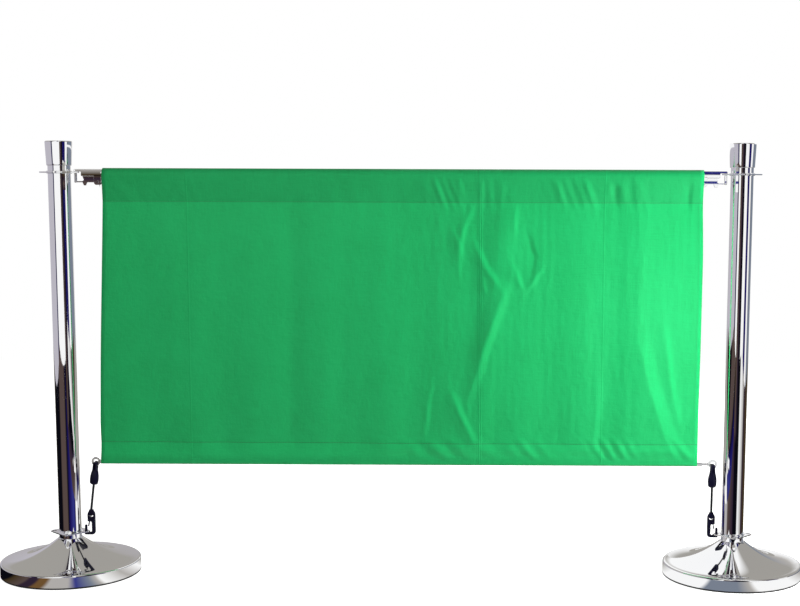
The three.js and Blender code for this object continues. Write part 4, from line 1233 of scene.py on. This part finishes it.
def stage_sheet(name, centre, turn, width, length, finish):
    """A flat sheet of the studio, made at its place."""
    work = bmesh.new()
    bmesh.ops.create_grid(work, x_segments=1, y_segments=1, size=0.5)
    moved(work, Matrix.Translation(centre) @ turn @ Matrix.Diagonal((width, length, 1, 1)))
    sheet = in_scene(work, name)
    sheet.data.materials.append(finish)
    return sheet


def white_floor():
    """Matt white boards that shine just enough to vanish into the white surround."""
    finish, tree, place = new_finish("white_floor")
    _, seen = seen_by_eye_or_gloss(tree)
    colour = blended(tree, noise(tree, place, 3, 4), (0.86, 0.86, 0.86), (0.89, 0.89, 0.885))
    return coated(finish, colour, 0.9, None, 0, Specular_IOR_Level=0, Emission_Color=(1, 1, 1, 1),
                  Emission_Strength=maths(tree, "MULTIPLY", seen, floor_glow))


def flag(name, centre, turn, width, length, bands, along="X", hub=None):
    """A sheet that only shiny surfaces see, in bands along an axis or round a hub."""
    finish, tree, place = new_finish(name)
    tree.nodes.remove(tree.nodes["Principled BSDF"])
    if hub is None:
        place = shade(tree, "SeparateXYZ", {0: place}).outputs[along]
    else:
        away = shade(tree, "Mapping", {"Vector": place, "Location": (-hub, 0, 0)})
        place, _ = bearing(tree, away.outputs["Vector"])
    glow = shade(tree, "Emission", {"Color": banded(tree, place, bands), "Strength": 1.0})
    fill(tree, tree.nodes["Material Output"], {"Surface": glow.outputs[0]})
    sheet = stage_sheet(name, centre, turn, width, length, finish)
    sheet.visible_camera = sheet.visible_diffuse = sheet.visible_shadow = False
    sheet.visible_transmission = sheet.visible_volume_scatter = False


lying = Matrix.Identity(4)
stage_sheet("floor", (0, 0, -0.0002), lying, 8, 8, white_floor())
flag("right_card", (0.55, 2.0, 1.02), lying, 1.2, 4.0, [(-0.05, bright), (1.0, bright), (1.15, dim)])
flag("front_flag", (0.692, -1.90, 1.1), quarter_x, 1.384, 2.6,
     [(0.0, brown), (0.35, rust), (0.62, plum), (0.97, black), (1.384, black)])
for side, sign in side_signs.items():
    hub = sign * post_distance
    flag(f"{side}_floor", (sign * 2.0, 0, 0.001), lying, 4.0, 8.0, floor_bands[side], hub=hub)
    flag(f"{side}_foot_floor", (hub, 0, 0.0015), lying, 0.68, 0.68, foot_bands[side], hub=hub)
for name, centre, width, height, bands in (
    ("left_hook_card", (-0.713, -0.036, 0.918), 0.066, 0.056,
     [(0.89, plum), (0.905, rust), (0.915, plum), (0.925, brown), (0.937, pale), (0.946, dim)]),
    ("right_hook_card", (0.713, -0.036, 0.918), 0.066, 0.056,
     [(0.89, bright), (0.908, bright), (0.910, blue), (0.914, blue), (0.916, bright), (0.928, bright),
      (0.930, navy), (0.936, blue), (0.938, pale), (0.946, dim)]),
    ("left_eye_card", (-0.718, -0.030, 0.262), 0.044, 0.030,
     [(0.247, plum), (0.256, dim), (0.262, pale), (0.270, plum)]),
    ("right_eye_card", (0.716, -0.030, 0.262), 0.052, 0.030,
     [(0.247, plum), (0.252, bright), (0.270, bright), (0.276, plum)]),
):
    flag(name, centre, quarter_x, width, height, bands, along="Z")

camera_data = bpy.data.cameras.new("view")
camera_data.lens = 62.94
camera_data.sensor_width = 36
camera_data.shift_x = -0.075
camera_data.shift_y = 0.074
camera_data.clip_end = 100
camera = bpy.data.objects.new("view", camera_data)
scene.collection.objects.link(camera)
yaw, pitch, roll = -0.00542, 0.12396, 0.00355
ahead = Vector((math.sin(yaw) * math.cos(pitch), math.cos(yaw) * math.cos(pitch), -math.sin(pitch)))
right = Vector((math.cos(yaw), -math.sin(yaw), 0))
up = right.cross(ahead)
level_right = right * math.cos(roll) + up * math.sin(roll)
level_up = up * math.cos(roll) - right * math.sin(roll)
camera.matrix_world = Matrix.Translation((0.15436, -3.201, 0.89764)) @ Matrix(
    (level_right, level_up, -ahead)).transposed().to_4x4()
scene.camera = camera

for name, place, aim, size, watts, tint in (
    ("raking_lamp", (2.0, -0.45, 0.95), (0.20, 0, 0.60), 0.3, 42, (1.0, 1.0, 0.99)),
    ("right_lamp", (0.75, -0.597, 0.533), (0.886, 0, 0.90), 0.4, 4.4, (1.0, 1.0, 0.99)),
    ("back_lamp", (0.2, 3.0, 1.2), (0, 0, 0.60), 1.4, 44, (1.0, 1.0, 0.99)),
    ("left_lamp", (-0.514, -1.281, 1.20), (0.084, 0, 0.836), 0.8, 6.6, (1.0, 0.99, 0.97)),
):
    data = bpy.data.lights.new(name, "AREA")
    data.energy = watts
    data.size = size
    data.color = tint
    lamp = bpy.data.objects.new(name, data)
    scene.collection.objects.link(lamp)
    look = (Vector(aim) - Vector(place)).to_track_quat("-Z", "Y").to_matrix().to_4x4()
    lamp.matrix_world = Matrix.Translation(place) @ look
    lamp.visible_glossy = lamp.visible_camera = False
